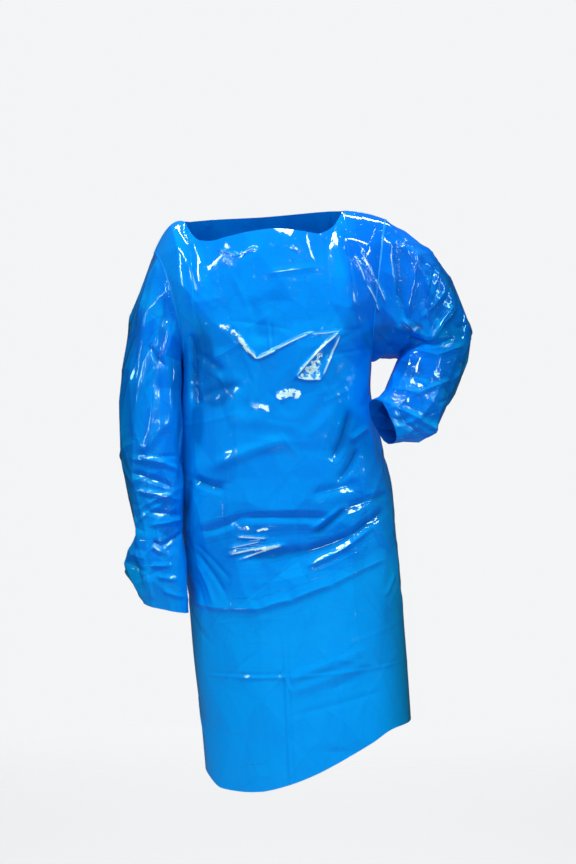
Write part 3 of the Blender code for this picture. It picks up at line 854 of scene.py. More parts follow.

# The film's own creases, finer than the solids have. Each set's crinkle value says how crinkled its
# film is, in bump and gloss, and how much painted highlight it gets.
CREASES = (
    CreaseSet("F", Side.FRONT, Profile.TENT, (
        (-77, -204, -58, -209, 0, 2.2, 0.6),
        (-55, -213, -43, -221, 0, 2.4, 0.6),
        (-43, -221, -10, -262, -2, 2.4, 0.8),
        (60, -291, 100, -292, -1, 3.6, 0.6),
        (70, -281, 99, -280, 0, 3.2, 0.5),
        (82, -270, 101, -268, 0, 3.0, 0.5),
        (92, -258, 105, -254, 0, 2.4, 0.5),
        (23, -330, 46, -320, 2, 4.4, 0.6),
        (42, -318, 66, -325, 0, 4.6, 0.6),
        (-20, -342, 12, -349, 1, 2.8, 0.6),
    ), crinkle_and_glint=1.0),
    CreaseSet("F", Side.FRONT, Profile.TENT, (
        (-77, -69, -62, -75, 0, 2.0, 0.4),
        (-60, -78, -45, -84, 0, 2.0, 0.4),
        (-45, -84, -12, -68, 1, 1.8, 0.5),
    ), crinkle_and_glint=0.5),
    CreaseSet("F", Side.FRONT, Profile.TENT, (
        (-45, -552, -22, -555, 0, 1.8, 0.5),
        (-12, -558, 14, -552, 0, 1.8, 0.5),
        (-58, -598, -44, -592, 0, 2.2, 0.4),
        (20, -586, -20, -592, 0, 1.8, 0.5),
    ), crinkle_and_glint=0.85),
    CreaseSet("F", Side.FRONT, Profile.TENT, (
        (-43, -221, -10, -262, -2, 3, 3.0),
        (-10, -262, 23, -247, 0, 3, 3.2),
        (21, -247, 81, -218, 1, 2.5, 2.6),
        (81, -218, 133, -212, -2, 2.5, 2.0),
        (133, -214, 57, -292, -3, 2.5, 3.4),
        (134, -218, 102, -293, 0, 2.5, 3.2),
        (57, -293, 102, -295, -3, 3, 2.4),
        (-77, -69, -45, -81, 0, 2.5, 1.6),
        (-45, -81, -12, -68, 1, 2.5, 1.8),
        (-67, -87, -53, -99, 0, 2.5, 1.2),
        (48, -66, 62, -73, 0, 2.5, 1.6),
        (-46, -569, 9, -571, 0, 2.5, 2.4),
        (-58, -600, 36, -583, 2, 3, 3.0),
        (35, -583, -38, -608, -2, 2.5, 2.6),
        (-58, -589, -2, -576, 0, 2.5, 2.0),
    ), crinkle_and_glint=0.3),
    CreaseSet("F", Side.FRONT, Profile.TENT, (
        (-10, -264, -26, -336, 0, 6, 1.6),
        (7, -114, 95, -100, 0, 6, 1.4),
        (-129, -218, -120, -259, 1, 8, -6.0),
        (-120, -259, -124, -304, 0, 8, -7.0),
        (-124, -304, -114, -340, 0, 7, -5.0),
        (-120, -471, -70, -486, -2, 7, -4.0),
        (150, -355, 122, -431, 4, 7, -4.2),
        (164, -419, 131, -472, 3, 7, -3.6),
        (184, -381, 153, -402, 0, 6, 2.6),
        (-108, -562, -39, -536, -3, 7, -4.2),
        (-39, -536, 109, -536, 2, 7, -4.4),
        (91, -562, 141, -521, -2, 6, -4.2),
        (141, -521, 217, -498, 1, 6, -4.2),
        (85, -555, 133, -521, 0, 4, 2.6),
        (131, -522, 202, -505, 1, 5, 2.4),
        (74, -593, 150, -567, -2, 7, -4.6),
        (150, -567, 212, -524, -2, 7, -4.4),
        (79, -617, 159, -576, -3, 5, 4.2),
        (159, -576, 191, -553, 0, 5, 3.2),
        (-118, -585, -60, -640, 2, 4, -1.8),
        (-117, -600, -66, -668, 3, 4, -2.0),
        (-115, -622, -84, -690, 2, 4, 1.8),
        (-115, -650, -98, -700, 0, 4, -1.6),
    )),
    CreaseSet("FL", Side.FRONT, Profile.TENT, (
        (171, -73, 193, -118, 1, 2.0, 2.0),
        (193, -118, 214, -160, 2, 2.0, 2.0),
    ), crinkle_and_glint=0.62),
    CreaseSet("FL", Side.FRONT, Profile.TENT, (
        (160, -84, 178, -128, 2, 3, 2.4),
        (178, -128, 204, -178, 2, 3, 2.4),
    ), crinkle_and_glint=0.25),
    CreaseSet("F", Side.FRONT, Profile.ROUND, (
        (124, -238, 79, -285, 0, 8, -4.0),
        (-114, -252, -70, -285, 2, 8, -3.2),
        (-108, -326, -39, -307, 2, 8, -2.6),
        (-88, -448, 38, -403, 3, 11, 3.4),
        (83, -498, 167, -479, 2, 9, -3.0),
        (-26, -608, 76, -593, 3, 9, -4.0),
        (43, -810, 167, -772, 0, 8, 1.6),
        (50, -834, 184, -786, 0, 8, 1.6),
        (116, -832, 171, -806, 0, 7, -1.2),
        (-22, -161, -2, -230, 0, 14, -2.0),
        (64, -238, -2, -367, 3, 14, 1.8),
        (116, -324, 64, -385, 3, 12, -2.0),
        (-57, -367, 64, -376, 3, 14, 2.0),
    )),
    CreaseSet("F", Side.FRONT, Profile.FLAP, (
        (-119, -689, -55, -693, -2, 11, 3.4),
        (-55, -693, -2, -691, 0, 11, 3.4),
        (-2, -691, 48, -676, 2, 11, 3.6),
        (48, -676, 117, -651, 2, 11, 3.8),
        (117, -651, 209, -612, 2, 12, 3.0),
    )),
    CreaseSet("F", Side.FRONT, Profile.PRESS, (
        (9, -199, 12, -249, 0, 2.5, 1.2),
        (36, -746, 48, -994, 0, 2.4, 1.5),
        (-96, -813, -8, -810, 0, 2.4, 0.9),
        (-39, -812, 40, -808, 0, 2.6, 1.6),
        (47, -808, 243, -794, 0, 2.4, 0.9),
        (36, -800, 48, -832, 0, 2.4, 1.2),
        (23, -822, 36, -800, 0, 2.4, 1.0),
    )),
    CreaseSet("R", Side.FRONT, Profile.TENT, (
        (-157, -57, -172, -125, 1, 6, 4.0),
        (-157, -135, -141, -154, 0, 3, 2.2),
        (-201, -238, -172, -274, 0, 5, -3.0),
        (-134, -264, -148, -419, 3, 7, -4.4),
        (-194, -298, -201, -428, 2, 5, 2.6),
        (-212, -433, -150, -453, 2, 5, 3.2),
        (-227, -460, -157, -484, 2, 5, -3.4),
        (-217, -491, -148, -507, 2, 5, 3.4),
        (-212, -519, -158, -496, 2, 4, 2.8),
        (-203, -526, -144, -533, 0, 5, -3.2),
        (-194, -550, -141, -541, 0, 4, 2.8),
        (-191, -579, -177, -586, 0, 4, -3.6),
        (-177, -586, -141, -565, 0, 4, -3.8),
        (-191, -588, -167, -602, 0, 4, 2.8),
        (-193, -620, -160, -620, 0, 4, 2.8),
        (-182, -639, -150, -645, 0, 4, 2.6),
        (-227, -608, -210, -664, 2, 6, -2.6),
        (-172, -664, -139, -677, 0, 4, 2.2),
        (-203, -634, -191, -682, 0, 4, 1.8),
    ), crinkle_and_glint=0.06),
    CreaseSet("R", Side.FRONT, Profile.ROUND, (
        (-177, -143, -194, -336, 4, 8, -4.0),
        (-151, -161, -157, -367, 3, 8, 3.6),
        (-212, -161, -225, -374, 4, 8, 3.0),
        (-169, -367, -212, -422, 2, 9, 3.0),
    )),
    CreaseSet("L", Side.FRONT, Profile.TENT, (
        (272, -76, 253, -181, 2, 6, 4.6),
        (291, -121, 291, -169, 0, 5, 4.0),
        (341, -161, 293, -228, -3, 6, 4.6),
        (245, -192, 291, -230, 0, 5, 4.2),
        (291, -230, 341, -169, 0, 5, 4.0),
        (258, -223, 302, -233, 0, 4, -3.6),
        (302, -233, 334, -221, 0, 4, -3.6),
        (253, -243, 305, -255, 0, 5, 3.6),
        (305, -255, 351, -236, 0, 5, 3.6),
        (221, -316, 269, -321, 0, 5, 3.6),
        (269, -321, 326, -298, 0, 5, 3.6),
        (221, -329, 245, -371, 0, 5, -3.2),
        (190, -335, 226, -374, 0, 5, -3.2),
        (193, -331, 305, -385, 2, 5, 3.2),
        (202, -352, 281, -397, 2, 5, -3.0),
        (227, -57, 236, -161, 3, 5, -3.2),
        (245, -54, 267, -95, 0, 5, 2.8),
        (305, -95, 284, -161, 0, 5, -3.0),
        (320, -143, 279, -188, 0, 5, 3.0),
        (231, -205, 271, -214, 0, 5, 3.0),
        (258, -292, 284, -307, 0, 6, 2.6),
        (243, -395, 264, -376, 0, 4, 2.2),
        (284, -402, 298, -374, 0, 4, 2.2),
    ), crinkle_and_glint=0.06),
    CreaseSet("L", Side.FRONT, Profile.ROUND, (
        (210, -75, 203, -212, 2, 8, -4.0),
        (295, -83, 341, -161, -3, 9, 3.0),
        (248, -383, 305, -379, 0, 12, 4.0),
        (188, -92, 191, -212, 2, 9, 3.0),
    )),
)

SCATTERS = (
    Scatter("B", Side.BACK, (-130, -520, 210, -60), 34, 100, 50, (40, 130), (4, 8), (1.0, 3.5), 3),
    Scatter("B", Side.BACK, (-120, -960, 240, -520), 26, 95, 25, (60, 220), (5, 9), (1.0, 3.5), 4),
    Scatter("FB", Side.RIGHT, (-70, -930, 90, -300), 22, 80, 40, (40, 140), (4, 8), (0.8, 2.4), 5),
    Scatter("FB", Side.LEFT, (-70, -880, 90, -300), 22, 80, 40, (40, 140), (4, 8), (0.8, 2.4), 6),
    Scatter("R", Side.BACK, (-240, -690, -145, -400), 18, 10, 25, (30, 90), (4, 7), (1.2, 3.4), 7),
    Scatter("R", Side.BACK, (-240, -420, -145, -90), 14, 85, 18, (60, 160), (5, 9), (1.2, 3.4), 17),
    Scatter("R", Side.RIGHT, (-120, -690, 60, -420), 18, 10, 25, (30, 100), (4, 7), (1.0, 3.0), 8),
    Scatter("R", Side.RIGHT, (-110, -420, 60, -90), 16, 85, 15, (70, 180), (5, 9), (1.0, 3.0), 18),
    Scatter("L", Side.BACK, (220, -400, 365, -40), 30, 30, 50, (30, 90), (4, 7), (1.2, 3.2), 9),
    Scatter("L", Side.LEFT, (-120, -400, 70, -40), 30, 20, 50, (30, 90), (4, 7), (1.2, 3.2), 10),
    Scatter("F", Side.FRONT, (-110, -520, 190, -90), 30, 40, 60, (40, 120), (3, 7), (0.3, 1.0), 11),
    Scatter("F", Side.FRONT, (-90, -960, 230, -700), 18, 20, 60, (60, 180), (3, 8), (0.3, 0.9), 12),
    Scatter("R", Side.FRONT, (-240, -420, -150, -100), 12, 84, 10, (70, 190), (4, 8), (0.8, 2.0), 13),
    Scatter("R", Side.FRONT, (-240, -690, -150, -430), 16, 10, 25, (20, 70), (3, 6), (0.8, 2.0), 15),
    Scatter("L", Side.FRONT, (220, -200, 350, -40), 12, 95, 18, (40, 110), (4, 7), (0.8, 2.0), 14),
    Scatter("L", Side.FRONT, (220, -390, 350, -230), 12, 25, 25, (25, 80), (3, 6), (0.8, 2.0), 16),
)

# Painted shade in the hollows by the arms: pieces, then x, z, the reach in x and z, and the depth of
# trough that they look like, in millimetres.
PAINTED_HOLLOW_SHADE = (
    ("F", (-104, -250, 14, 24, 18.0)),
    ("F", (-82, -322, 20, 22, 16.0)),
    ("F", (-116, -372, 13, 46, 12.0)),
    ("R", (-146, -310, 15, 46, 18.0)),
    ("R", (-140, -410, 13, 66, 16.0)),
    ("FL", (216, -226, 34, 22, 24.0)),
    ("L", (262, -206, 16, 9, 18.0)),
    ("L", (256, -274, 20, 16, 18.0)),
)


def seam_distances(pieces: list[FilmPiece]) -> dict[tuple[str, str], Array]:
    """How far each point of a piece is from its seam with each other piece.

    Args:
        pieces: All of the film.

    Returns:
        The distances, by the codes of the piece and of the other one.
    """
    owners: dict[tuple[float, ...], str] = {}
    for piece in pieces:
        for key in map(tuple, np.round(piece.points, 5)):
            owners[key] = owners.get(key, "") + piece.code
    made = {}
    for piece in pieces:
        keys = list(map(tuple, np.round(piece.points, 5)))
        for other in pieces:
            seam = [n for n, key in enumerate(keys) if other is not piece and other.code in owners[key]]
            if not seam:
                continue
            tree = KDTree(len(seam))
            for number in seam:
                tree.insert(piece.points[number], number)
            tree.balance()
            made[piece.code, other.code] = np.array([tree.find(point)[2] for point in piece.points])
    return made


@dataclass(frozen=True)
class Faceter:
    """Breaks film into flat facets with sharp edges, as thin film buckles where it hangs loose."""

    margin: float = 0.016
    uneven: float = 0.045
    swell: float = 0.055
    closest: float = 0.8
    tries: int = 5000
    seed: int = 5
    merge: float = 1e-6
    slip: float = 1e-9

    def corners(self, block: Array, closed: bool, table: Table, stretch: float) -> tuple[Array, Array]:
        """Picks scattered points of a grid, about as far apart as the table says.

        Args:
            block: The grid's points.
            closed: Whether its last column is its first one again.
            table: The spacing by height, in millimetres.
            stretch: How much closer the points lie along the piece.

        Returns:
            The grid rows and columns of the picked points, and each one's spacing in metres.
        """
        dice = np.random.default_rng(self.seed)
        rows, columns = block.shape[:2]
        high = np.linalg.norm(np.diff(block, axis=0), axis=-1).mean() * stretch
        wide = np.linalg.norm(np.diff(block, axis=1), axis=-1).mean()
        spacing = table.read("spacing", block[..., 2] / MM) * MM
        picked: list[tuple[int, int]] = []
        for row in (0, rows - 1):
            column = 0.0
            while column < columns - 1:
                picked.append((row, int(column)))
                column += spacing[row, int(column)] / wide
            picked += [] if closed else [(row, columns - 1)]
        for column in () if closed else (0, columns - 1):
            row = spacing[0, column] / high
            while row < rows - 1.5:
                picked.append((int(row), column))
                row += spacing[int(row), column] / high
        tried = dice.integers(1, rows - 1, self.tries), dice.integers(1, columns - 1, self.tries)
        for row, column in zip(*tried):
            apart = np.abs(np.array(picked) - (row, column))
            if closed:
                apart[:, 1] = np.minimum(apart[:, 1], columns - 1 - apart[:, 1])
            nearest = np.hypot(apart[:, 0] * high, apart[:, 1] * wide).min()
            if nearest > self.closest * spacing[row, column]:
                picked.append((int(row), int(column)))
        spots = np.array(picked)
        return spots, spacing[spots[:, 0], spots[:, 1]]

    def flattened(self, block: Array, normals: Array, closed: bool, table: Table, stretch: float) -> Array:
        """A grid whose points lie on flat triangles between the scattered ones.

        Args:
            block: The grid's points.
            normals: Its normals.
            closed: Whether its last column is its first one again.
            table: The facets' spacing by height.
            stretch: How much closer they lie along the piece.

        Returns:
            The points.
        """
        spots, spacing = self.corners(block, closed, table, stretch)
        dice = np.random.default_rng(self.seed + 1)
        jitter = dice.normal(self.swell, self.uneven, len(spots)) * spacing
        row, column = spots.T
        tops = block[row, column] + normals[row, column] * jitter[:, None]
        if closed:
            round_once = np.array([0, block.shape[1] - 1])
            spots = np.concatenate([spots - round_once, spots, spots + round_once])
            tops = np.concatenate([tops] * 3)
        high = stretch * np.linalg.norm(np.diff(block, axis=0), axis=-1).mean()
        wide = np.linalg.norm(np.diff(block, axis=1), axis=-1).mean()
        flat = [Vector(spot) for spot in spots * (high / MM, wide / MM)]
        _, _, faces, origins, _, _ = delaunay_2d_cdt(flat, [], [], 0, self.merge, True)
        made = block.copy()
        for face in faces:
            corner = np.array([origins[index][0] for index in face])
            (r0, c0), (r1, c1), (r2, c2) = spots[corner]
            low, high = spots[corner].min(axis=0), spots[corner].max(axis=0)
            size = (r1 - r0) * (c2 - c0) - (r2 - r0) * (c1 - c0)
            if size == 0 or high[1] < 0 or low[1] >= block.shape[1]:
                continue
            last = min(high[1], block.shape[1] - 1)
            r, c = np.mgrid[low[0] : high[0] + 1, max(low[1], 0) : last + 1]
            second = ((r - r0) * (c2 - c0) - (r2 - r0) * (c - c0)) / size
            third = ((r1 - r0) * (c - c0) - (r - r0) * (c1 - c0)) / size
            inside = (second >= -self.slip) & (third >= -self.slip) & (second + third <= 1 + self.slip)
            second, third = second[inside][:, None], third[inside][:, None]
            a, b, d = tops[corner]
            made[r[inside], c[inside]] = a + (b - a) * second + (d - a) * third
        return made

    def press(self, piece: FilmPiece, normals: Array, from_seam: Array, table: Table, stretch: float) -> None:
        """Breaks one piece into facets.

        Args:
            piece: The film, changed in place.
            normals: Its normals.
            from_seam: How far each of its points is from a seam.
            table: Spacing in millimetres and how flat the facets are, by height.
            stretch: How much closer they lie along the piece.
        """
        total, count = np.zeros_like(piece.points), np.zeros(len(piece.points))
        for numbers in piece.numbers:
            grid = piece.wrapped(numbers)
            made = self.flattened(piece.points[grid], normals[grid], piece.closed, table, stretch)
            own = made[:, : numbers.shape[1]]
            np.add.at(total, numbers, own)
            np.add.at(count, numbers, 1.0)
        share = table.read("share", piece.points[:, 2] / MM) * smooth_step(from_seam / self.margin)
        piece.points = piece.points + (total / count[:, None] - piece.points) * share[:, None]


@dataclass(frozen=True)
class Creaser:
    """Lifts and sinks pieces of film along crease lines."""

    overrun: float = 0.12
    end_fade: float = 0.3
    turn_away: float = 1.6
    seam_fade: float = 0.035
    reach: float = 5.0
    crinkle_reach: float = 2.4
    crinkle_fade: float = 1.2
    line_reach: float = 0.004

    def one(
        self, piece: FilmPiece, normals: Array, creases: CreaseSet, share: float
    ) -> tuple[Array, Array]:
        """The lift and the closeness that one set gives. It notes each point's sharpest crease.

        Args:
            piece: The film.
            normals: Its normals.
            creases: The set.
            share: How much of its depth is used.

        Returns:
            The lift of each point in metres, and how close it is to a crease, 0 to 1.
        """
        lift, close = np.zeros(len(piece.points)), np.zeros(len(piece.points))
        facing = smooth_step(normals @ creases.side.facing * self.turn_away)
        flat = piece.points[:, [creases.side.across, 2]]
        for row in creases.rows:
            x0, z0, x1, z1, bow, width, depth = (value * MM for value in row)
            start, chord = np.array([x0, z0]), np.array([x1 - x0, z1 - z0])
            length = float(np.linalg.norm(chord))
            line = chord / length
            margin = self.reach * width + abs(bow) + self.overrun * length
            low, high = np.minimum(start, start + chord), np.maximum(start, start + chord)
            inside = ((flat > low - margin) & (flat < high + margin)).all(axis=1)
            near = np.flatnonzero(inside & (facing > 0))
            place = (flat[near] - start) @ line / length
            away = (flat[near] - start) @ np.array([-line[1], line[0]]) - bow * 4 * place * (1 - place)
            ends = smooth_step((place + self.overrun) / self.end_fade)
            ends = ends * smooth_step((1 + self.overrun - place) / self.end_fade) * facing[near]
            lift[near] += depth * creases.shape(away / width) * ends
            left = self.crinkle_reach - np.abs(away) / width
            close[near] = np.maximum(close[near], smooth_step(left / self.crinkle_fade) * ends)
            if creases.profile is Profile.ROUND:
                continue
            edge = depth / MM * ends * share**3
            weight = np.abs(edge) * np.exp(-np.abs(away) / self.line_reach)
            before = np.exp(-np.abs(piece.line[near]) * MM / self.line_reach)
            first = weight > np.abs(piece.edge[near]) * before
            piece.edge[near[first]] = edge[first]
            piece.line[near[first]] = np.clip(away[first] / MM, -FAR_LINE, FAR_LINE)
        return lift, close

    def press(
        self,
        pieces: list[FilmPiece],
        apart: dict[tuple[str, str], Array],
        sets: tuple[CreaseSet, ...],
        share: float = 1.0,
    ) -> None:
        """Moves every piece's points by the sets of creases, and notes the lift that paints shade into
        troughs, and the crinkled places.

        Args:
            pieces: All of the film.
            apart: How far each point is from each seam.
            sets: The creases.
            share: How much of their depth is used.
        """
        for piece, normals in zip(pieces, shared_normals(pieces)):
            total = np.zeros(len(piece.points))
            for creases in sets:
                if piece.code not in creases.pieces:
                    continue
                lift, close = self.one(piece, normals, creases, share)
                for (own, other), far in apart.items():
                    if own == piece.code and other not in creases.pieces:
                        lift = lift * smooth_step(far / self.seam_fade)
                total += lift * share
                piece.crinkle_and_glint = np.maximum(piece.crinkle_and_glint, close * creases.crinkle_and_glint)
            # The lift is kept only to paint shade into the troughs.
            piece.trough_shade = piece.trough_shade + total
            piece.points = piece.points + normals * total[:, None]


@dataclass(frozen=True)
class FilmFinish:
    """Glossy polyethylene film: the colours of its flat and deep places, its troughs' painted shade and its
    painted highlights.
    """

    name: str
    light: Span3 = (0.0, 0.355, 0.98)
    deep: Span3 = (0.0, 0.160, 0.80)
    # Painted shade: the dark colour of the film's troughs and of the hollows by the arms.
    trough_shade: Span3 = (0.0, 0.10, 0.45)
    # Painted highlight: the pale cyan-white that the colour turns where facets face up to the key light and
    # along crease crests.
    painted_highlight: Span3 = (0.62, 0.96, 1.0)
    depth_tint: tuple[float, float, float, float] = (0.50, 0.84, 0.75, 1.0)
    depth_ior: float = 1.06
    roughness: float = 0.03
    ior: float = 1.5
    specular: float = 0.8
    specular_tint: tuple[float, float, float, float] = (0.6, 0.95, 1.0, 1.0)

    def build(self, surface: bpy.types.NodeTree) -> Material:
        """The material itself.

        Args:
            surface: The node group of the film's surface.

        Returns:
            A material whose colour, roughness and bump vary over the film.
        """
        material = bpy.data.materials.new(self.name)
        material.use_nodes = True
        tree = material.node_tree
        shader = tree.nodes["Principled BSDF"]
        for name, value in (
            ("IOR", self.ior),
            ("Specular IOR Level", self.specular),
            ("Specular Tint", self.specular_tint),
            ("Coat IOR", self.depth_ior),
            ("Coat Roughness", self.roughness),
            ("Coat Tint", self.depth_tint),
        ):
            shader.inputs[name].default_value = value
        film = tree.nodes.new("ShaderNodeGroup")
        film.node_tree = surface
        colours = (self.light, self.deep, self.trough_shade, self.painted_highlight)
        for name, colour in zip(FilmSurface.COLOURS, colours):
            film.inputs[name].default_value = (*colour, 1.0)
        film.inputs["Roughness"].default_value = self.roughness
        tree.links.new(film.outputs["Rim"], shader.inputs["Coat Weight"])
        tree.links.new(film.outputs["Colour"], shader.inputs["Base Color"])
        tree.links.new(film.outputs["Roughness"], shader.inputs["Roughness"])
        bump = tree.nodes.new("ShaderNodeBump")
        bump.inputs["Strength"].default_value = 1.0
        bump.inputs["Distance"].default_value = MM
        tree.links.new(film.outputs["Height"], bump.inputs["Height"])
        tree.links.new(bump.outputs["Normal"], shader.inputs["Normal"])
        return material


@dataclass(frozen=True)
class FilmPattern:
    """The film's patterns: cells in a metre, heights in millimetres, and how strongly each one shows."""

    broad: tuple[float, Span3] = (10.0, (1.0, 1.0, 0.55))
    narrow: tuple[float, Span3] = (19.0, (1.0, 1.0, 0.7))
    small: tuple[float, Span3] = (48.0, (1.0, 1.0, 1.0))
    flake: tuple[float, Span3] = (150.0, (1.0, 1.0, 1.3))
    flake_up: float = 0.54
    flake_spread: float = 0.36
    # Painted shade: how much deeper the colour is where facets face down, more where the film hangs slack.
    tilt_shades: Span3 = (0.5, 0.45, 0.12)
    slack_tilt_shade: float = 0.55
    cloud: Span = (3.4, 3.0)
    cloud_tone: float = 0.26
    # Painted shade: the colour deepens towards the trough colour where creases sink the film.
    trough_shade_depths: Span = (-1.0, -9.0)
    trough_shade_share: float = 0.7
    # Painted highlights: noise patches, facets that face up to the key light and crease crests turn the
    # colour pale cyan-white.
    highlight_noise: Span = (110.0, 3.0)
    highlight_patch_crinkle: float = 0.5
    highlight_patch_edge: Span = (0.86, 0.94)
    flake_highlight_tilts: Span = (-0.66, -0.60)
    flake_highlight_share: Span = (0.1, 0.95)
    stroke_highlight_width: float = 2.0
    stroke_highlight_depths: Span = (1.0, 2.2)
    stroke_highlight_share: float = 0.8
    stroke_highlight_crinkle: Span = (0.15, 0.28)
    smear: Span = (28.0, 4.0)
    smear_gloss: float = 0.04
    crinkle_gloss: float = 0.02
    slack_heights: Span3 = (0.20, 0.15, 0.05)
    small_crinkle: float = 0.20
    flake_height: float = 1.25
    crest_width: float = 1.3
    crest_height: float = 0.32
    ripple: Span = (70.0, 3.0)
    ripple_height: float = 0.06
    grain: Span = (420.0, 2.0)
    grain_height: float = 0.006


class FilmSurface:
    """The node group that varies the film's colour, gloss and height over its surface, and paints shade and
    highlights into the colour.
    """

    COLOURS = ("Light", "Deep", "Trough shade", "Painted highlight")

    def __init__(self) -> None:
        """Makes the group with its sockets."""
        self.tree = bpy.data.node_groups.new("Film surface", "ShaderNodeTree")
        face = self.tree.interface
        for name in self.COLOURS:
            face.new_socket(name, in_out="INPUT", socket_type="NodeSocketColor")
        face.new_socket("Roughness", in_out="INPUT", socket_type="NodeSocketFloat")
        face.new_socket("Colour", in_out="OUTPUT", socket_type="NodeSocketColor")
        for name in ("Roughness", "Height", "Rim"):
            face.new_socket(name, in_out="OUTPUT", socket_type="NodeSocketFloat")
        self.given = self.tree.nodes.new("NodeGroupInput")
        self.result = self.tree.nodes.new("NodeGroupOutput")
        self.place = self.tree.nodes.new("ShaderNodeTexCoord").outputs["Object"]

    def noise(self, scale: float, detail: float) -> Socket:
        """A noise pattern in the object's own space.

        Args:
            scale: Its cells in a metre.
            detail: Its octaves.

        Returns:
            The pattern's value.
        """
        node = self.tree.nodes.new("ShaderNodeTexNoise")
        node.inputs["Scale"].default_value = scale
        node.inputs["Detail"].default_value = detail
        self.tree.links.new(self.place, node.inputs["Vector"])
        return node.outputs["Fac"]

    def attribute(self, name: str) -> Socket:
        """A number that the film's points carry.

        Args:
            name: The attribute's name.

        Returns:
            Its value.
        """
        node = self.tree.nodes.new("ShaderNodeAttribute")
        node.attribute_name = name
        return node.outputs["Fac"]

    def ramp(self, value: Socket, span: Span, to: Span = (0.0, 1.0)) -> Socket:
        """A value stretched from one range to another, smoothly.

        Args:
            value: The value.
            span: Its range.
            to: The new range.

        Returns:
            The stretched value.
        """
        node = self.tree.nodes.new("ShaderNodeMapRange")
        node.interpolation_type = "SMOOTHSTEP"
        for name, number in zip(("From Min", "From Max", "To Min", "To Max"), span + to):
            node.inputs[name].default_value = number
        self.tree.links.new(value, node.inputs["Value"])
        return node.outputs["Result"]

    def sum(self, *parts: tuple[Socket, Socket | float]) -> Socket:
        """A sum of products.

        Args:
            parts: Each product's value and factor.

        Returns:
            The sum.
        """
        total = None
        for value, factor in parts:
            node = self.tree.nodes.new("ShaderNodeMath")
            node.operation = "MULTIPLY_ADD"
            self.tree.links.new(value, node.inputs[0])
            if isinstance(factor, float):
                node.inputs[1].default_value = factor
            else:
                self.tree.links.new(factor, node.inputs[1])
            node.inputs[2].default_value = 0.0
            if total is not None:
                self.tree.links.new(total, node.inputs[2])
            total = node.outputs[0]
        return total

    def mix(self, factor: Socket, first: Socket, second: Socket) -> Socket:
        """One colour blended into another.

        Args:
            factor: 0 for the first colour to 1 for the second.
            first: The first colour.
            second: The second colour.

        Returns:
            The blend.
        """
        node = self.tree.nodes.new("ShaderNodeMix")
        node.data_type = "RGBA"
        self.tree.links.new(factor, node.inputs["Factor"])
        self.tree.links.new(first, node.inputs["A"])
        self.tree.links.new(second, node.inputs["B"])
        return node.outputs["Result"]

    def vector(self, operation: str, first: Socket, second: Socket | Span3) -> bpy.types.Node:
        """A node that works on two vectors.

        Args:
            operation: What it does.
            first: The first vector.
            second: The second one, or its three numbers.

        Returns:
            The node.
        """
        node = self.tree.nodes.new("ShaderNodeVectorMath")
        node.operation = operation
        self.tree.links.new(first, node.inputs[0])
        if isinstance(second, tuple):
            node.inputs[1].default_value = second
        else:
            self.tree.links.new(second, node.inputs[1])
        return node

    def planes(
        self, cells_in: tuple[float, Span3], up: float = 0.0, spread: float = 1.0
    ) -> tuple[Socket, Socket]:
        """Flat facets side by side, each tilted its own way, as buckled film has.

        Args:
            cells_in: How many there are in a metre, and how much closer they lie along each axis.
            up: How far all of them face up.
            spread: How much they differ from each other.

        Returns:
            The facets' height, in millimetres where a tilt of one is 45 degrees, and how far each
            faces down.
        """
        scale, stretch = cells_in
        mapping = self.tree.nodes.new("ShaderNodeMapping")
        mapping.inputs["Location"].default_value = (scale, 2 * scale, 3 * scale)
        mapping.inputs["Scale"].default_value = stretch
        cells = self.tree.nodes.new("ShaderNodeTexVoronoi")
        cells.inputs["Scale"].default_value = scale
        self.tree.links.new(self.place, mapping.inputs["Vector"])
        self.tree.links.new(mapping.outputs["Vector"], cells.inputs["Vector"])
        away = self.vector("SUBTRACT", mapping.outputs["Vector"], cells.outputs["Position"])
        tilt = self.vector("MULTIPLY_ADD", cells.outputs["Color"], (spread, 1.0, spread))
        tilt.inputs[2].default_value = (-0.5 * spread, -0.5, -0.5 * spread - up)
        height = self.vector("DOT_PRODUCT", away.outputs["Vector"], tilt.outputs["Vector"])
        down = self.tree.nodes.new("ShaderNodeSeparateXYZ")
        self.tree.links.new(tilt.outputs["Vector"], down.inputs[0])
        return self.sum((height.outputs["Value"], 1.0 / MM)), down.outputs["Z"]

    def crease_lines(self, width: float) -> Socket:
        """The sharp crest of each crease, by the distance from its line that the points carry.

        Args:
            width: How fast the crest falls off, in millimetres.

        Returns:
            The crest's height, in millimetres at full depth.
        """
        value = self.attribute("line")
        for operation, number in (("ABSOLUTE", 0.0), ("MULTIPLY", -1.0 / width), ("EXPONENT", 0.0)):
            node = self.tree.nodes.new("ShaderNodeMath")
            node.operation = operation
            node.inputs[1].default_value = number
            self.tree.links.new(value, node.inputs[0])
            value = node.outputs[0]
        return self.sum((value, self.attribute("edge")))

    def build(self) -> bpy.types.NodeTree:
        """Joins the patterns up.

        Returns:
            The finished group.
        """
        links, look = self.tree.links, FilmPattern()
        broad, broad_down = self.planes(look.broad)
        narrow, narrow_down = self.planes(look.narrow)
        small, small_down = self.planes(look.small)
        flake, flake_down = self.planes(look.flake, look.flake_up, look.flake_spread)
        crinkle_and_glint, slack = self.attribute("crinkle_and_glint"), self.attribute("slack")
        # Painted shade: facets that face down are coloured deeper, more so where the film hangs slack.
        tilt_shading = self.sum(*zip((broad_down, narrow_down, small_down), look.tilt_shades))
        tone = self.sum(
            (self.noise(*look.cloud), look.cloud_tone),
            (self.attribute("shade"), 1.0),
            (tilt_shading, self.sum((slack, look.slack_tilt_shade))),
        )
        colour = self.mix(tone, self.given.outputs["Light"], self.given.outputs["Deep"])
        # Painted shade in the troughs.
        deep = self.ramp(self.attribute("trough_shade"), look.trough_shade_depths, (0.0, look.trough_shade_share))
        colour = self.mix(deep, colour, self.given.outputs["Trough shade"])
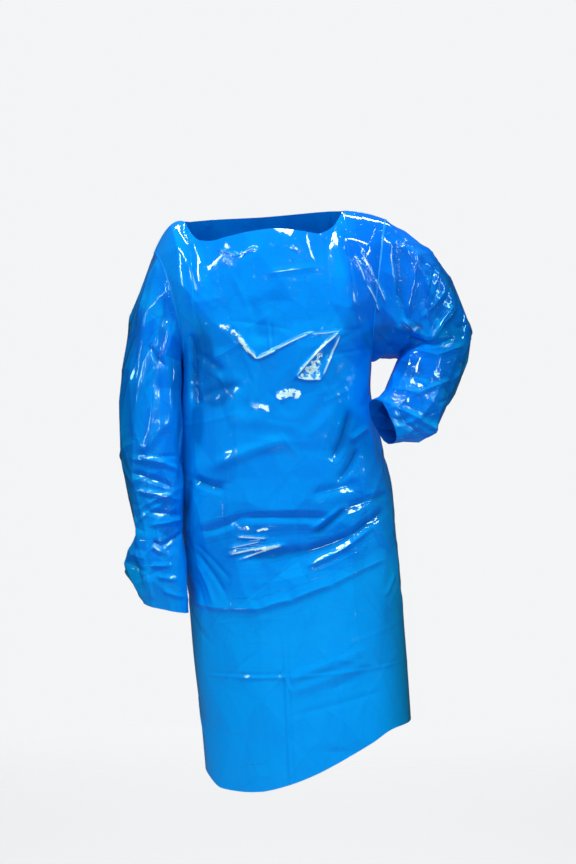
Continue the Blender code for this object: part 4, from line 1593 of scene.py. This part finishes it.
        # Painted highlights: the colour turns pale cyan-white in crinkled noise patches, where tiny facets
        # face up to the key light, and along the creases' crests.
        highlight_patches = self.sum((self.noise(*look.highlight_noise), 1.0), (crinkle_and_glint, look.highlight_patch_crinkle))
        highlight_patches = self.ramp(highlight_patches, look.highlight_patch_edge)
        flake_highlights = self.sum((self.ramp(flake_down, look.flake_highlight_tilts, look.flake_highlight_share), highlight_patches))
        crest = self.ramp(self.crease_lines(look.stroke_highlight_width), look.stroke_highlight_depths, (0.0, look.stroke_highlight_share))
        stroke_highlights = self.sum((crest, self.ramp(crinkle_and_glint, look.stroke_highlight_crinkle)))
        highlight_mix = self.sum((flake_highlights, 1.0), (stroke_highlights, 1.0))
        colour = self.mix(highlight_mix, colour, self.given.outputs["Painted highlight"])
        links.new(colour, self.result.inputs["Colour"])
        links.new(self.attribute("rim"), self.result.inputs["Rim"])
        gloss = self.sum(
            (self.given.outputs["Roughness"], 1.0),
            (self.noise(*look.smear), look.smear_gloss),
            (crinkle_and_glint, look.crinkle_gloss),
        )
        links.new(gloss, self.result.inputs["Roughness"])
        heights = look.slack_heights
        height = self.sum(
            (broad, self.sum((slack, heights[0]))),
            (narrow, self.sum((slack, heights[1]))),
            (small, self.sum((slack, heights[2]), (crinkle_and_glint, look.small_crinkle))),
            (flake, self.sum((crinkle_and_glint, look.flake_height))),
            (self.crease_lines(look.crest_width), look.crest_height),
            (self.noise(*look.ripple), look.ripple_height),
            (self.noise(*look.grain), look.grain_height),
        )
        links.new(height, self.result.inputs["Height"])
        return self.tree


def add_piece(name: str, points: Array, faces: Array | list, material: Material) -> Thing:
    """A smooth mesh object at the origin, in the scene.

    Args:
        name: The piece's name.
        points: Its points, in metres.
        faces: The corners of its faces.
        material: Its finish.

    Returns:
        The object.
    """
    mesh = bpy.data.meshes.new(name)
    mesh.from_pydata(np.asarray(points, float).tolist(), [], [list(map(int, face)) for face in faces])
    mesh.materials.append(material)
    mesh.shade_smooth()
    thing = bpy.data.objects.new(name, mesh)
    bpy.context.scene.collection.objects.link(thing)
    LOG.info("%s: %d faces", name, len(mesh.polygons))
    return thing


def add_film(piece: FilmPiece, material: Material) -> Thing:
    """A film piece as a mesh, with its flat layout and the marks that its finish reads.

    Args:
        piece: The film.
        material: Its finish.

    Returns:
        The object.
    """
    thing = add_piece(piece.name, piece.points, piece.quads, material)
    layer = thing.data.uv_layers.new(name="film")
    layer.data.foreach_set("uv", piece.flat.astype(np.float32).ravel())
    marks = {"trough_shade": piece.trough_shade / MM, "crinkle_and_glint": piece.crinkle_and_glint, "shade": piece.shade}
    marks |= {"line": piece.line, "edge": piece.edge, "slack": piece.slack, "rim": piece.rim}
    for name, values in marks.items():
        attribute = thing.data.attributes.new(name, "FLOAT", "POINT")
        attribute.data.foreach_set("value", values.astype(np.float32))
    return thing


# The facets' spacing and flatness by height, and how much closer they lie along the piece.
FACETS = {
    "F": (Table("height spacing share", (
        (-1030, 90, 0.25), (-720, 80, 0.3), (-640, 50, 0.6), (-560, 36, 0.8), (-480, 44, 0.7),
        (-380, 50, 0.6), (-250, 50, 0.5), (-120, 42, 0.4), (40, 34, 0.3),
    )), 0.9),
    "B": (Table("height spacing share", (
        (-1030, 80, 0.4), (-560, 60, 0.6), (-420, 36, 0.7), (-300, 55, 0.6), (40, 50, 0.6),
    )), 0.6),
    "R": (Table("height spacing share", (
        (-720, 24, 0.9), (-560, 26, 0.9), (-430, 32, 0.9), (-300, 38, 0.9), (0, 34, 0.9),
    )), 0.5),
    "L": (Table("height spacing share", (
        (-420, 26, 0.9), (-250, 30, 0.9), (-150, 34, 0.9), (40, 36, 0.9),
    )), 0.75),
}

# Front, back, right and left sleeve, cut and laid flat: width, length and area.
CUTS = ((0.66, 1.06, 0.60), (0.64, 1.06, 0.58), (0.44, 0.62, 0.215), (0.46, 0.56, 0.20))


@dataclass
class FilmGown:
    """The four large cut pieces: front, slit back and two sleeves."""

    form: GownForm
    finish: Material
    creaser: Creaser = Creaser()
    faceter: Faceter = Faceter()
    fold_share: float = 0.6
    lit_from: Span3 = (0.5, 0.0, 1.3)
    pieces: list[FilmPiece] = field(init=False)
    normals: list[Array] = field(init=False)

    def __post_init__(self) -> None:
        """Lays the pieces out on the form and creases them."""
        whole = np.linspace(0.0, 1.0, PANEL_COLUMNS * FINE + 1)
        half = PANEL_COLUMNS // 2 * FINE
        middle = self.form.panel(Side.BACK, np.array([0.5]))[:, 0, 2]
        own = whole[: half + 1] * (1 - self.form.slit_share(middle)[:, None] / 0.5)
        blocks = [self.form.panel(Side.BACK, own), self.form.panel(Side.BACK, 1 - own[:, ::-1])]
        right = self.form.sleeve(RIGHT_RINGS, self.form.right)
        left = self.form.sleeve(LEFT_RINGS, self.form.left)
        self.pieces = [
            FilmPiece("film_front", "F", [self.form.panel(Side.FRONT, whole)]),
            FilmPiece("film_back", "B", blocks, flipped=True),
            FilmPiece("film_right_sleeve", "R", [right], closed=True),
            FilmPiece("film_left_sleeve", "L", [left], closed=True, flipped=True),
        ]
        apart, plain = seam_distances(self.pieces), shared_normals(self.pieces)
        self.creaser.press(self.pieces, apart, FOLDS, self.fold_share)
        for piece, normals in zip(self.pieces, shared_normals(self.pieces)):
            nearest = np.min([far for (own, _), far in apart.items() if own == piece.code], axis=0)
            self.faceter.press(piece, normals, nearest, *FACETS[piece.code])
        scattered = tuple(scatter.crease_set() for scatter in SCATTERS)
        self.creaser.press(self.pieces, apart, CREASES + scattered)
        self.normals = shared_normals(self.pieces)
        # Painted shade: where creasing turns the film's normals away from the light, its colour is made
        # deeper.
        for piece, before, after in zip(self.pieces, plain, self.normals):
            piece.shade = np.clip(piece.shade + (before - after) @ np.array(self.lit_from), 0.0, 1.0)
            self.paint_hollow_shade(piece, after)

    def paint_hollow_shade(self, piece: FilmPiece, normals: Array) -> None:
        """Paints shade into the hollows on the front of one piece, as deeper trough colour, without moving
        it.

        Args:
            piece: The film.
            normals: Its normals.
        """
        facing = smooth_step(normals @ Side.FRONT.facing * self.creaser.turn_away)
        for pieces, (x, z, wide, high, depth) in PAINTED_HOLLOW_SHADE:
            if piece.code in pieces:
                away = (piece.points[:, [0, 2]] / MM - (x, z)) / (wide, high)
                piece.trough_shade = piece.trough_shade - depth * MM * np.exp(-(away**2).sum(axis=1)) * facing

    def dress(self, welds: list[Thing]) -> None:
        """Makes the meshes, each in place of its solid.

        Args:
            welds: The bands and ribs of the seams; not used.
        """
        nodes = ("front_panel", "back_panel", "right_sleeve", "left_sleeve")
        for piece, node, (width, length, area) in zip(self.pieces, nodes, CUTS):
            LOG.info("%s: %.3f square metres of film", piece.name, piece.area())
            thing = add_film(piece, self.finish)
            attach(thing, "root")
            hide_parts(node)


def grid_faces(rows: int, columns: int, start: int = 0) -> Array:
    """Four corners for each cell of a plain grid, the right way round for one that faces out.

    Args:
        rows: How many rows of points it has.
        columns: How many points each has.
        start: Its first point's number.

    Returns:
        The corners.
    """
    return cell_corners(start + np.arange(rows * columns).reshape(rows, columns))


@dataclass(frozen=True)
class WeldedSeams:
    """Pressed bands where the pieces of film are welded, with fine ribs across them."""

    gown: FilmGown
    finish: Material
    profile: Rows = ((-2.2, -0.25), (-1.5, 0.35), (0.0, 0.5), (1.5, 0.35), (2.2, -0.25))
    rib_pitch: float = 0.0035
    rib_size: Span3 = (0.0034, 0.0011, 0.0007)
    rib_lift: float = 0.0005

    def paths(self) -> list[tuple[Array, Array]]:
        """Follows the seams.

        Returns:
            Each seam's points and the film's normals there.
        """
        gown = self.gown
        front, _, right, left = (piece.numbers[0] for piece in gown.pieces)
        side, shoulder = BODY_ROWS * FINE + 1, SHOULDER_COLUMNS * FINE + 1
        seams = [
            (0, front[:side, 0]),
            (0, front[:side, -1]),
            (0, front[-1, :shoulder]),
            (0, front[-1, -shoulder:]),
            (2, np.append(right[0], right[0, 0])),
            (3, np.append(left[0], left[0, 0])),
        ]
        return [(gown.pieces[owner].points[line], gown.normals[owner][line]) for owner, line in seams]

    def band(self, points: Array, normals: Array) -> Array:
        """One seam's band.

        Args:
            points: The seam's points.
            normals: The film's normals there.

        Returns:
            Rows of points across the seam, from end to end.
        """
        heading = unit(np.gradient(points, axis=0))
        sideways = unit(np.cross(normals, heading))
        across, up = np.array(self.profile).T[:, :, None, None] * MM
        return (points + sideways * across + normals * up).transpose(1, 0, 2)

    def bands(self) -> Thing:
        """Makes all of the bands.

        Returns:
            Them, as one piece.
        """
        points, faces, count = [], [], 0
        for line, normals in self.paths():
            rows = self.band(line, normals)
            faces.append(grid_faces(rows.shape[0], rows.shape[1], count)[:, ::-1])
            points.append(rows.reshape(-1, 3))
            count += rows.shape[0] * rows.shape[1]
        return add_piece("weld_bands", np.concatenate(points), np.concatenate(faces), self.finish)

    def rib_places(self) -> tuple[Array, Array]:
        """Spaces the ribs along the seams.

        Returns:
            Where each rib lies and how it is turned.
        """
        places, turns = [], []
        for line, normals in self.paths():
            steps = np.linalg.norm(np.diff(line, axis=0), axis=1)
            far = np.concatenate([[0.0], np.cumsum(steps)])
            at = np.arange(self.rib_pitch, far[-1], self.rib_pitch)
            up = unit(np.stack([np.interp(at, far, normals[:, axis]) for axis in range(3)], axis=1))
            spot = np.stack([np.interp(at, far, line[:, axis]) for axis in range(3)], axis=1)
            heading = unit(np.gradient(spot, axis=0))
            across = unit(np.cross(up, heading))
            frames = np.stack([across, np.cross(up, across), up], axis=2)
            places.append(spot + up * self.rib_lift)
            turns.extend(tuple(Matrix(frame.tolist()).to_euler()) for frame in frames)
        return np.concatenate(places), np.array(turns)

    def rib_tree(self) -> bpy.types.NodeTree:
        """Makes the group that puts a small bar on every point, turned as its attribute says.

        Returns:
            The group.
        """
        tree = bpy.data.node_groups.new("Weld ribs", "GeometryNodeTree")
        face = tree.interface
        face.new_socket("Geometry", in_out="INPUT", socket_type="NodeSocketGeometry")
        face.new_socket("Rib size", in_out="INPUT", socket_type="NodeSocketVector")
        face.new_socket("Material", in_out="INPUT", socket_type="NodeSocketMaterial")
        face.new_socket("Geometry", in_out="OUTPUT", socket_type="NodeSocketGeometry")
        given, result = tree.nodes.new("NodeGroupInput"), tree.nodes.new("NodeGroupOutput")
        bar = tree.nodes.new("GeometryNodeMeshCube")
        turn = tree.nodes.new("GeometryNodeInputNamedAttribute")
        turn.data_type = "FLOAT_VECTOR"
        turn.inputs["Name"].default_value = "turn"
        put = tree.nodes.new("GeometryNodeInstanceOnPoints")
        real = tree.nodes.new("GeometryNodeRealizeInstances")
        dress = tree.nodes.new("GeometryNodeSetMaterial")
        for source, target in (
            (given.outputs["Geometry"], put.inputs["Points"]),
            (given.outputs["Rib size"], bar.inputs["Size"]),
            (bar.outputs["Mesh"], put.inputs["Instance"]),
            (turn.outputs["Attribute"], put.inputs["Rotation"]),
            (put.outputs["Instances"], real.inputs["Geometry"]),
            (real.outputs["Geometry"], dress.inputs["Geometry"]),
            (given.outputs["Material"], dress.inputs["Material"]),
            (dress.outputs["Geometry"], result.inputs["Geometry"]),
        ):
            tree.links.new(source, target)
        return tree

    def ribs(self) -> Thing:
        """Makes all of the ribs.

        Returns:
            Them, as one piece.
        """
        places, turns = self.rib_places()
        seed = add_piece("weld_seed", places, [], self.finish)
        turn = seed.data.attributes.new("turn", "FLOAT_VECTOR", "POINT")
        turn.data.foreach_set("vector", turns.astype(np.float32).ravel())
        modifier = seed.modifiers.new("ribs", "NODES")
        modifier.node_group = self.rib_tree()
        inputs = [item for item in modifier.node_group.interface.items_tree if item.in_out == "INPUT"]
        sockets = {item.name: item.identifier for item in inputs}
        modifier[sockets["Rib size"]] = self.rib_size
        modifier[sockets["Material"]] = self.finish
        graph = bpy.context.evaluated_depsgraph_get()
        mesh = bpy.data.meshes.new_from_object(seed.evaluated_get(graph))
        bpy.data.objects.remove(seed)
        mesh.name = "weld_ribs"
        thing = bpy.data.objects.new("weld_ribs", mesh)
        bpy.context.scene.collection.objects.link(thing)
        LOG.info("weld_ribs: %d ribs", len(places))
        return thing

    def dress(self) -> list[Thing]:
        """Makes the bands and ribs, which lie on the solids' seams.

        Returns:
            The pieces.
        """
        made = [self.bands(), self.ribs()]
        for thing in made:
            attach(thing, "root")
        return made


@dataclass(frozen=True)
class WaistTies:
    """Two waist ties on the back, gathered towards their knot, and their two tails."""

    gown: FilmGown
    finish: Material
    tie_columns: int = 6
    tail_rows: int = 8
    lift: float = 0.0009
    pleat: float = 0.0011
    pleats: float = 3.5
    gather: float = 0.45
    flat_pleat: float = 0.25
    wander: float = 0.06
    wander_waves: float = 5.0
    ripple: float = 0.0007
    ripple_waves: float = 9.0
    half_phases: Span = (2.1, 3.0)
    tie_cut: Span = (0.026, 0.120)
    tail_cut: Span = (0.026, 0.200)

    def meeting_point(self) -> Array:
        """Finds where the ties meet.

        Returns:
            The point of the back between their ends.
        """
        back, row = self.gown.pieces[1], self.tie_row() * FINE + FINE // 2
        return (back.points[back.numbers[0][row, -1]] + back.points[back.numbers[1][row, 0]]) / 2

    def tie_row(self) -> int:
        """Finds the row of the solid's cells where the ties lie.

        Returns:
            Its number.
        """
        back = self.gown.pieces[1]
        heights = back.points[back.numbers[0][::FINE, -1], 2]
        return int(np.argmin(np.abs((heights[:-1] + heights[1:]) / 2 - self.gown.form.tie_height)))

    def strip(
        self, name: str, block: int, rows: slice, columns: slice, along_rows: bool, knot_last: bool
    ) -> Thing:
        """One strip of film that lies on the back.

        Args:
            name: The piece's name.
            block: The half of the back that it lies on.
            rows: The solid's rows that it covers.
            columns: The solid's columns that it covers.
            along_rows: Whether its length runs across the rows, as a tail's does.
            knot_last: Whether the knot is at its last point.

        Returns:
            The piece.
        """
        back, normals = self.gown.pieces[1], self.gown.normals[1]
        pick = [slice(part.start * FINE, part.stop * FINE + 1) for part in (rows, columns)]
        numbers = back.numbers[block][tuple(pick)]
        if along_rows:
            numbers = numbers.T
        length, width = numbers.shape[1], numbers.shape[0]
        near = np.linspace(0.0, 1.0, length) if knot_last else np.linspace(1.0, 0.0, length)
        across = np.linspace(-1.0, 1.0, width)[:, None]
        points, out = back.points[numbers], normals[numbers]
        middle = points.mean(axis=0)
        pinch = 1 - self.gather * near**3
        phases = [block * phase for phase in self.half_phases]
        wander = self.wander * np.sin(self.wander_waves * near + phases[0])
        wave = np.abs(np.sin(self.pleats * math.pi * (across + wander)))
        drawn = self.flat_pleat + (1 - self.flat_pleat) * near**2
        ripple = self.ripple * np.sin(self.ripple_waves * near + phases[1]) ** 2
        height = self.lift + self.pleat * wave * drawn + ripple
        made = middle + (points - middle) * pinch[None, :, None] + out * height[..., None]
        faces = grid_faces(width, length)
        if not along_rows:
            faces = faces[:, ::-1]
        return add_piece(name, made.reshape(-1, 3), faces, self.finish)

    def dress(self, knot: Thing) -> None:
        """Makes the ties and tails.

        Args:
            knot: The knot; not used.
        """
        row, last = self.tie_row(), PANEL_COLUMNS // 2
        tie_rows, tail_rows = slice(row, row + 1), slice(row - self.tail_rows, row)
        strips = (
            ("right_tie", 0, tie_rows, slice(last - self.tie_columns, last), False, True),
            ("left_tie", 1, tie_rows, slice(0, self.tie_columns), False, False),
            ("right_tail", 0, tail_rows, slice(last - 1, last), True, True),
            ("left_tail", 1, tail_rows, slice(0, 1), True, True),
        )
        for node, block, rows, columns, along_rows, knot_last in strips:
            thing = self.strip(f"film_{node}", block, rows, columns, along_rows, knot_last)
            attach(thing, "root")
            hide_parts(node)


@dataclass(frozen=True)
class TieKnot:
    """The knot of the two ties: gathered strands, held by a turn of film.

    A strand's rows are x, y, z, half width and half thickness in millimetres, and it says whether
    it is a ring. A pleat is how much a tube's radius swings, how often round it and along it.
    """

    finish: Material
    lift: Span3 = (0.0, 0.0078, 0.001)
    strands: tuple[tuple[Rows, bool], ...] = (
        (((-20, -4, 1, 9, 2.2), (-13, -2, 2, 7.5, 3.6), (-5, 0, 1, 6, 4.6), (1, 0, 0, 5, 4)), False),
        (((20, -4, 1, 9, 2.2), (13, -2, 2, 7.5, 3.6), (5, 0, 1, 6, 4.6), (-1, 0, 0, 5, 4)), False),
        (((-2, -1, -3, 5, 3.5), (-5, -2, -9, 6, 3.2), (-9, -4, -15, 8, 2.4)), False),
        (((2, -1, -3, 5, 3.5), (6, -2, -9, 6, 3.2), (10, -4, -15, 8, 2.4)), False),
        (((-1.5, 4.6, 1, 5.5, 2.6), (-0.5, 3.2, -7, 5, 2.4), (0.5, -3.5, -7.5, 5, 2.2),
          (1.5, -4.5, 1, 5, 2.2), (0.5, -2.5, 9, 5, 2.2), (-0.5, 3.4, 8.5, 5, 2.4)), True),
    )
    round_points: int = 26
    steps: int = 26
    coarse_pleat: Span3 = (0.13, 5.0, 1.7)
    fine_pleat: Span = (0.10, 9.0)
    key_step: float = 0.01

    def tube(self, keys: Array, closed: bool) -> tuple[Array, Array]:
        """A flattened, pleated tube along one strand.

        Args:
            keys: Its middle, half width and half thickness at each key, in metres.
            closed: Whether it is a ring.

        Returns:
            Its points and faces.
        """
        if closed:
            keys = np.concatenate([keys[-2:], keys, keys[:3]])
        places = np.arange(len(keys), dtype=float)
        span = (2.0, len(keys) - 3.0) if closed else (0.0, len(keys) - 1.0)
        at = np.linspace(*span, self.steps + 1)
        if closed:
            at = at[:-1]
        line = curve_through(places, keys, at)
        middle, half_width, half_depth = line[:, :3], line[:, 3], line[:, 4]
        after, before = (curve_through(places, keys, at + step) for step in (self.key_step, -self.key_step))
        ahead = unit(after[:, :3] - before[:, :3])
        if closed:
            wide = unit(np.array([1.0, 0.0, 0.0]) - ahead * ahead[:, :1])
        else:
            wide = unit(np.cross(np.array([0.0, 1.0, 0.0]), ahead))
        deep = np.cross(ahead, wide)
        turn = np.linspace(0.0, 2 * math.pi, self.round_points + 1)[:-1]
        (coarse, often, along), (fine, finely) = self.coarse_pleat, self.fine_pleat
        pleat = 1 + coarse * np.sin(often * turn)[None] * np.sin(at * along)[:, None]
        pleat = pleat + fine * np.sin(finely * turn + at[:, None])
        ring = (
            middle[:, None]
            + wide[:, None] * (np.cos(turn) * half_width[:, None] * pleat)[..., None]
            + deep[:, None] * (np.sin(turn) * half_depth[:, None] * pleat)[..., None]
        )
        rows = len(ring)
        numbers = np.arange(rows * self.round_points).reshape(rows, -1)
        numbers = np.concatenate([numbers, numbers[:, :1]], axis=1)
        if closed:
            numbers = np.concatenate([numbers, numbers[:1]])
        faces = cell_corners(numbers).tolist()
        if not closed:
            faces += [numbers[0, :-1][::-1].tolist(), numbers[-1, :-1].tolist()]
        return ring.reshape(-1, 3), faces

    def dress(self, place: Array) -> Thing:
        """Makes the knot in place of its solid.

        Args:
            place: The point between the ends of the ties.

        Returns:
            The piece.
        """
        points, faces, count = [], [], 0
        for rows, closed in self.strands:
            ring, cells = self.tube(np.array(rows) * MM, closed)
            points.append(ring + place + np.array(self.lift))
            faces += [[corner + count for corner in cell] for cell in cells]
            count += len(ring)
        thing = add_piece("film_tie_knot", np.concatenate(points), faces, self.finish)
        work = bmesh.new()
        work.from_mesh(thing.data)
        bmesh.ops.recalc_face_normals(work, faces=work.faces)
        work.to_mesh(thing.data)
        work.free()
        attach(thing, "root")
        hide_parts("tie_knot")
        return thing


@dataclass(frozen=True)
class SoftBox:
    """A soft light that faces the middle of the gown.

    The size is its width and height, the radiance how bright its face is, and mirrored says
    whether the film mirrors it.
    """

    name: str
    place: Span3
    size: Span
    radiance: float
    mirrored: bool = True
    aim: Span3 = (0.03, 0.0, -0.45)

    def build(self) -> None:
        """Puts the light in the scene."""
        data = bpy.data.lights.new(self.name, "AREA")
        data.shape = "RECTANGLE"
        data.size, data.size_y = self.size
        data.energy = self.radiance * math.pi * self.size[0] * self.size[1]
        lamp = bpy.data.objects.new(self.name, data)
        lamp.location = self.place
        aim = np.array(self.aim) - np.array(self.place)
        flat = math.hypot(aim[0], aim[1])
        turn = math.atan2(aim[1], aim[0]) - math.pi / 2
        lamp.rotation_euler = (math.atan2(flat, -aim[2]), 0.0, turn)
        lamp.visible_camera = False
        lamp.visible_glossy = self.mirrored
        bpy.context.scene.collection.objects.link(lamp)


@dataclass(frozen=True)
class Studio:
    """A pale floor, soft lights and the camera at the photograph's viewing angle."""

    camera_place: Span3 = (0.0432, -3.0, -0.388)
    lens: float = 69.4
    sensor: float = 36.0
    floor_height: float = -1.43
    floor_radius: float = 3.4
    floor_points: int = 64
    floor_fade: Span = (0.98, 0.25)
    floor_roughness: float = 0.7
    floor_seen: Span3 = (0.86, 0.87, 0.88)
    floor_mirrored: Span3 = (0.10, 0.11, 0.12)
    room_seen: Span3 = (0.90, 0.91, 0.92)
    room_light: Span3 = (0.27, 0.275, 0.28)
    room_mirrored: Span3 = (0.045, 0.055, 0.07)
    lights: tuple[SoftBox, ...] = (
        SoftBox("key", (-0.1, -0.95, 2.15), (2.0, 0.18), 48.0),
        SoftBox("side", (-1.9, -1.3, 1.1), (0.11, 1.4), 28.0),
        SoftBox("other side", (2.0, -1.2, 1.1), (0.11, 1.4), 28.0),
        SoftBox("fill", (0.2, -2.6, -0.9), (3.4, 0.9), 2.4, mirrored=False),
        SoftBox("back fill", (0.0, 3.6, -0.5), (2.4, 1.8), 2.7, mirrored=False),
        SoftBox("back key", (0.3, 1.3, 2.2), (2.0, 0.18), 36.0),
    )

    def camera(self) -> None:
        """A level camera that looks along +Y."""
        data = bpy.data.cameras.new("camera")
        data.lens = self.lens
        data.sensor_width = self.sensor
        camera = bpy.data.objects.new("camera", data)
        camera.location = self.camera_place
        camera.rotation_euler = (math.pi / 2, 0.0, 0.0)
        bpy.context.scene.collection.objects.link(camera)
        bpy.context.scene.camera = camera

    def world(self) -> None:
        """An even pale room, brighter to the eye than on the film."""
        world = bpy.data.worlds.new("room")
        bpy.context.scene.world = world
        world.use_nodes = True
        tree = world.node_tree
        background = tree.nodes["Background"]
        path = tree.nodes.new("ShaderNodeLightPath")
        seen = tree.nodes.new("ShaderNodeMix")
        mirrored = tree.nodes.new("ShaderNodeMix")
        seen.data_type = mirrored.data_type = "RGBA"
        mirrored.inputs["A"].default_value = (*self.room_light, 1.0)
        mirrored.inputs["B"].default_value = (*self.room_mirrored, 1.0)
        seen.inputs["B"].default_value = (*self.room_seen, 1.0)
        tree.links.new(path.outputs["Is Glossy Ray"], mirrored.inputs["Factor"])
        tree.links.new(path.outputs["Is Camera Ray"], seen.inputs["Factor"])
        tree.links.new(mirrored.outputs["Result"], seen.inputs["A"])
        tree.links.new(seen.outputs["Result"], background.inputs["Color"])

    def floor(self) -> None:
        """A pale floor that fades into the room at its rim."""
        ring = np.linspace(0.0, 2 * math.pi, self.floor_points + 1)[:-1]
        points = np.stack([np.cos(ring), np.sin(ring), 0 * ring], axis=1) * self.floor_radius
        points[:, 2] = self.floor_height
        material = bpy.data.materials.new("pale floor")
        material.use_nodes = True
        tree = material.node_tree
        shader = tree.nodes["Principled BSDF"]
        shader.inputs["Roughness"].default_value = self.floor_roughness
        place = tree.nodes.new("ShaderNodeTexCoord")
        length = tree.nodes.new("ShaderNodeVectorMath")
        length.operation = "LENGTH"
        fade = tree.nodes.new("ShaderNodeMapRange")
        fade.inputs["From Min"].default_value = self.floor_radius * self.floor_fade[0]
        fade.inputs["From Max"].default_value = self.floor_radius * self.floor_fade[1]
        path = tree.nodes.new("ShaderNodeLightPath")
        tint = tree.nodes.new("ShaderNodeMix")
        tint.data_type = "RGBA"
        tint.inputs["A"].default_value = (*self.floor_seen, 1.0)
        tint.inputs["B"].default_value = (*self.floor_mirrored, 1.0)
        tree.links.new(path.outputs["Is Glossy Ray"], tint.inputs["Factor"])
        tree.links.new(tint.outputs["Result"], shader.inputs["Base Color"])
        tree.links.new(place.outputs["Object"], length.inputs[0])
        tree.links.new(length.outputs["Value"], fade.inputs["Value"])
        tree.links.new(fade.outputs["Result"], shader.inputs["Alpha"])
        floor = add_piece("floor", points, [list(range(self.floor_points))], material)

    def build(self) -> None:
        """Sets everything up."""
        self.camera()
        self.world()
        self.floor()
        for light in self.lights:
            light.build()
        bpy.context.scene.view_settings.view_transform = "Standard"


def main() -> None:
    """Builds the dressed gown and its studio."""
    logging.basicConfig(level=logging.INFO, format="%(message)s")
    Studio().build()
    surface = FilmSurface().build()
    film = FilmFinish("glossy blue film").build(surface)
    pressed = FilmFinish("pressed weld", roughness=0.24).build(surface)
    gown = FilmGown(GownForm(), film)
    gown.dress(WeldedSeams(gown, pressed).dress())
    ties = WaistTies(gown, film)
    ties.dress(TieKnot(film).dress(ties.meeting_point()))


if __name__ == "__main__":
    main()
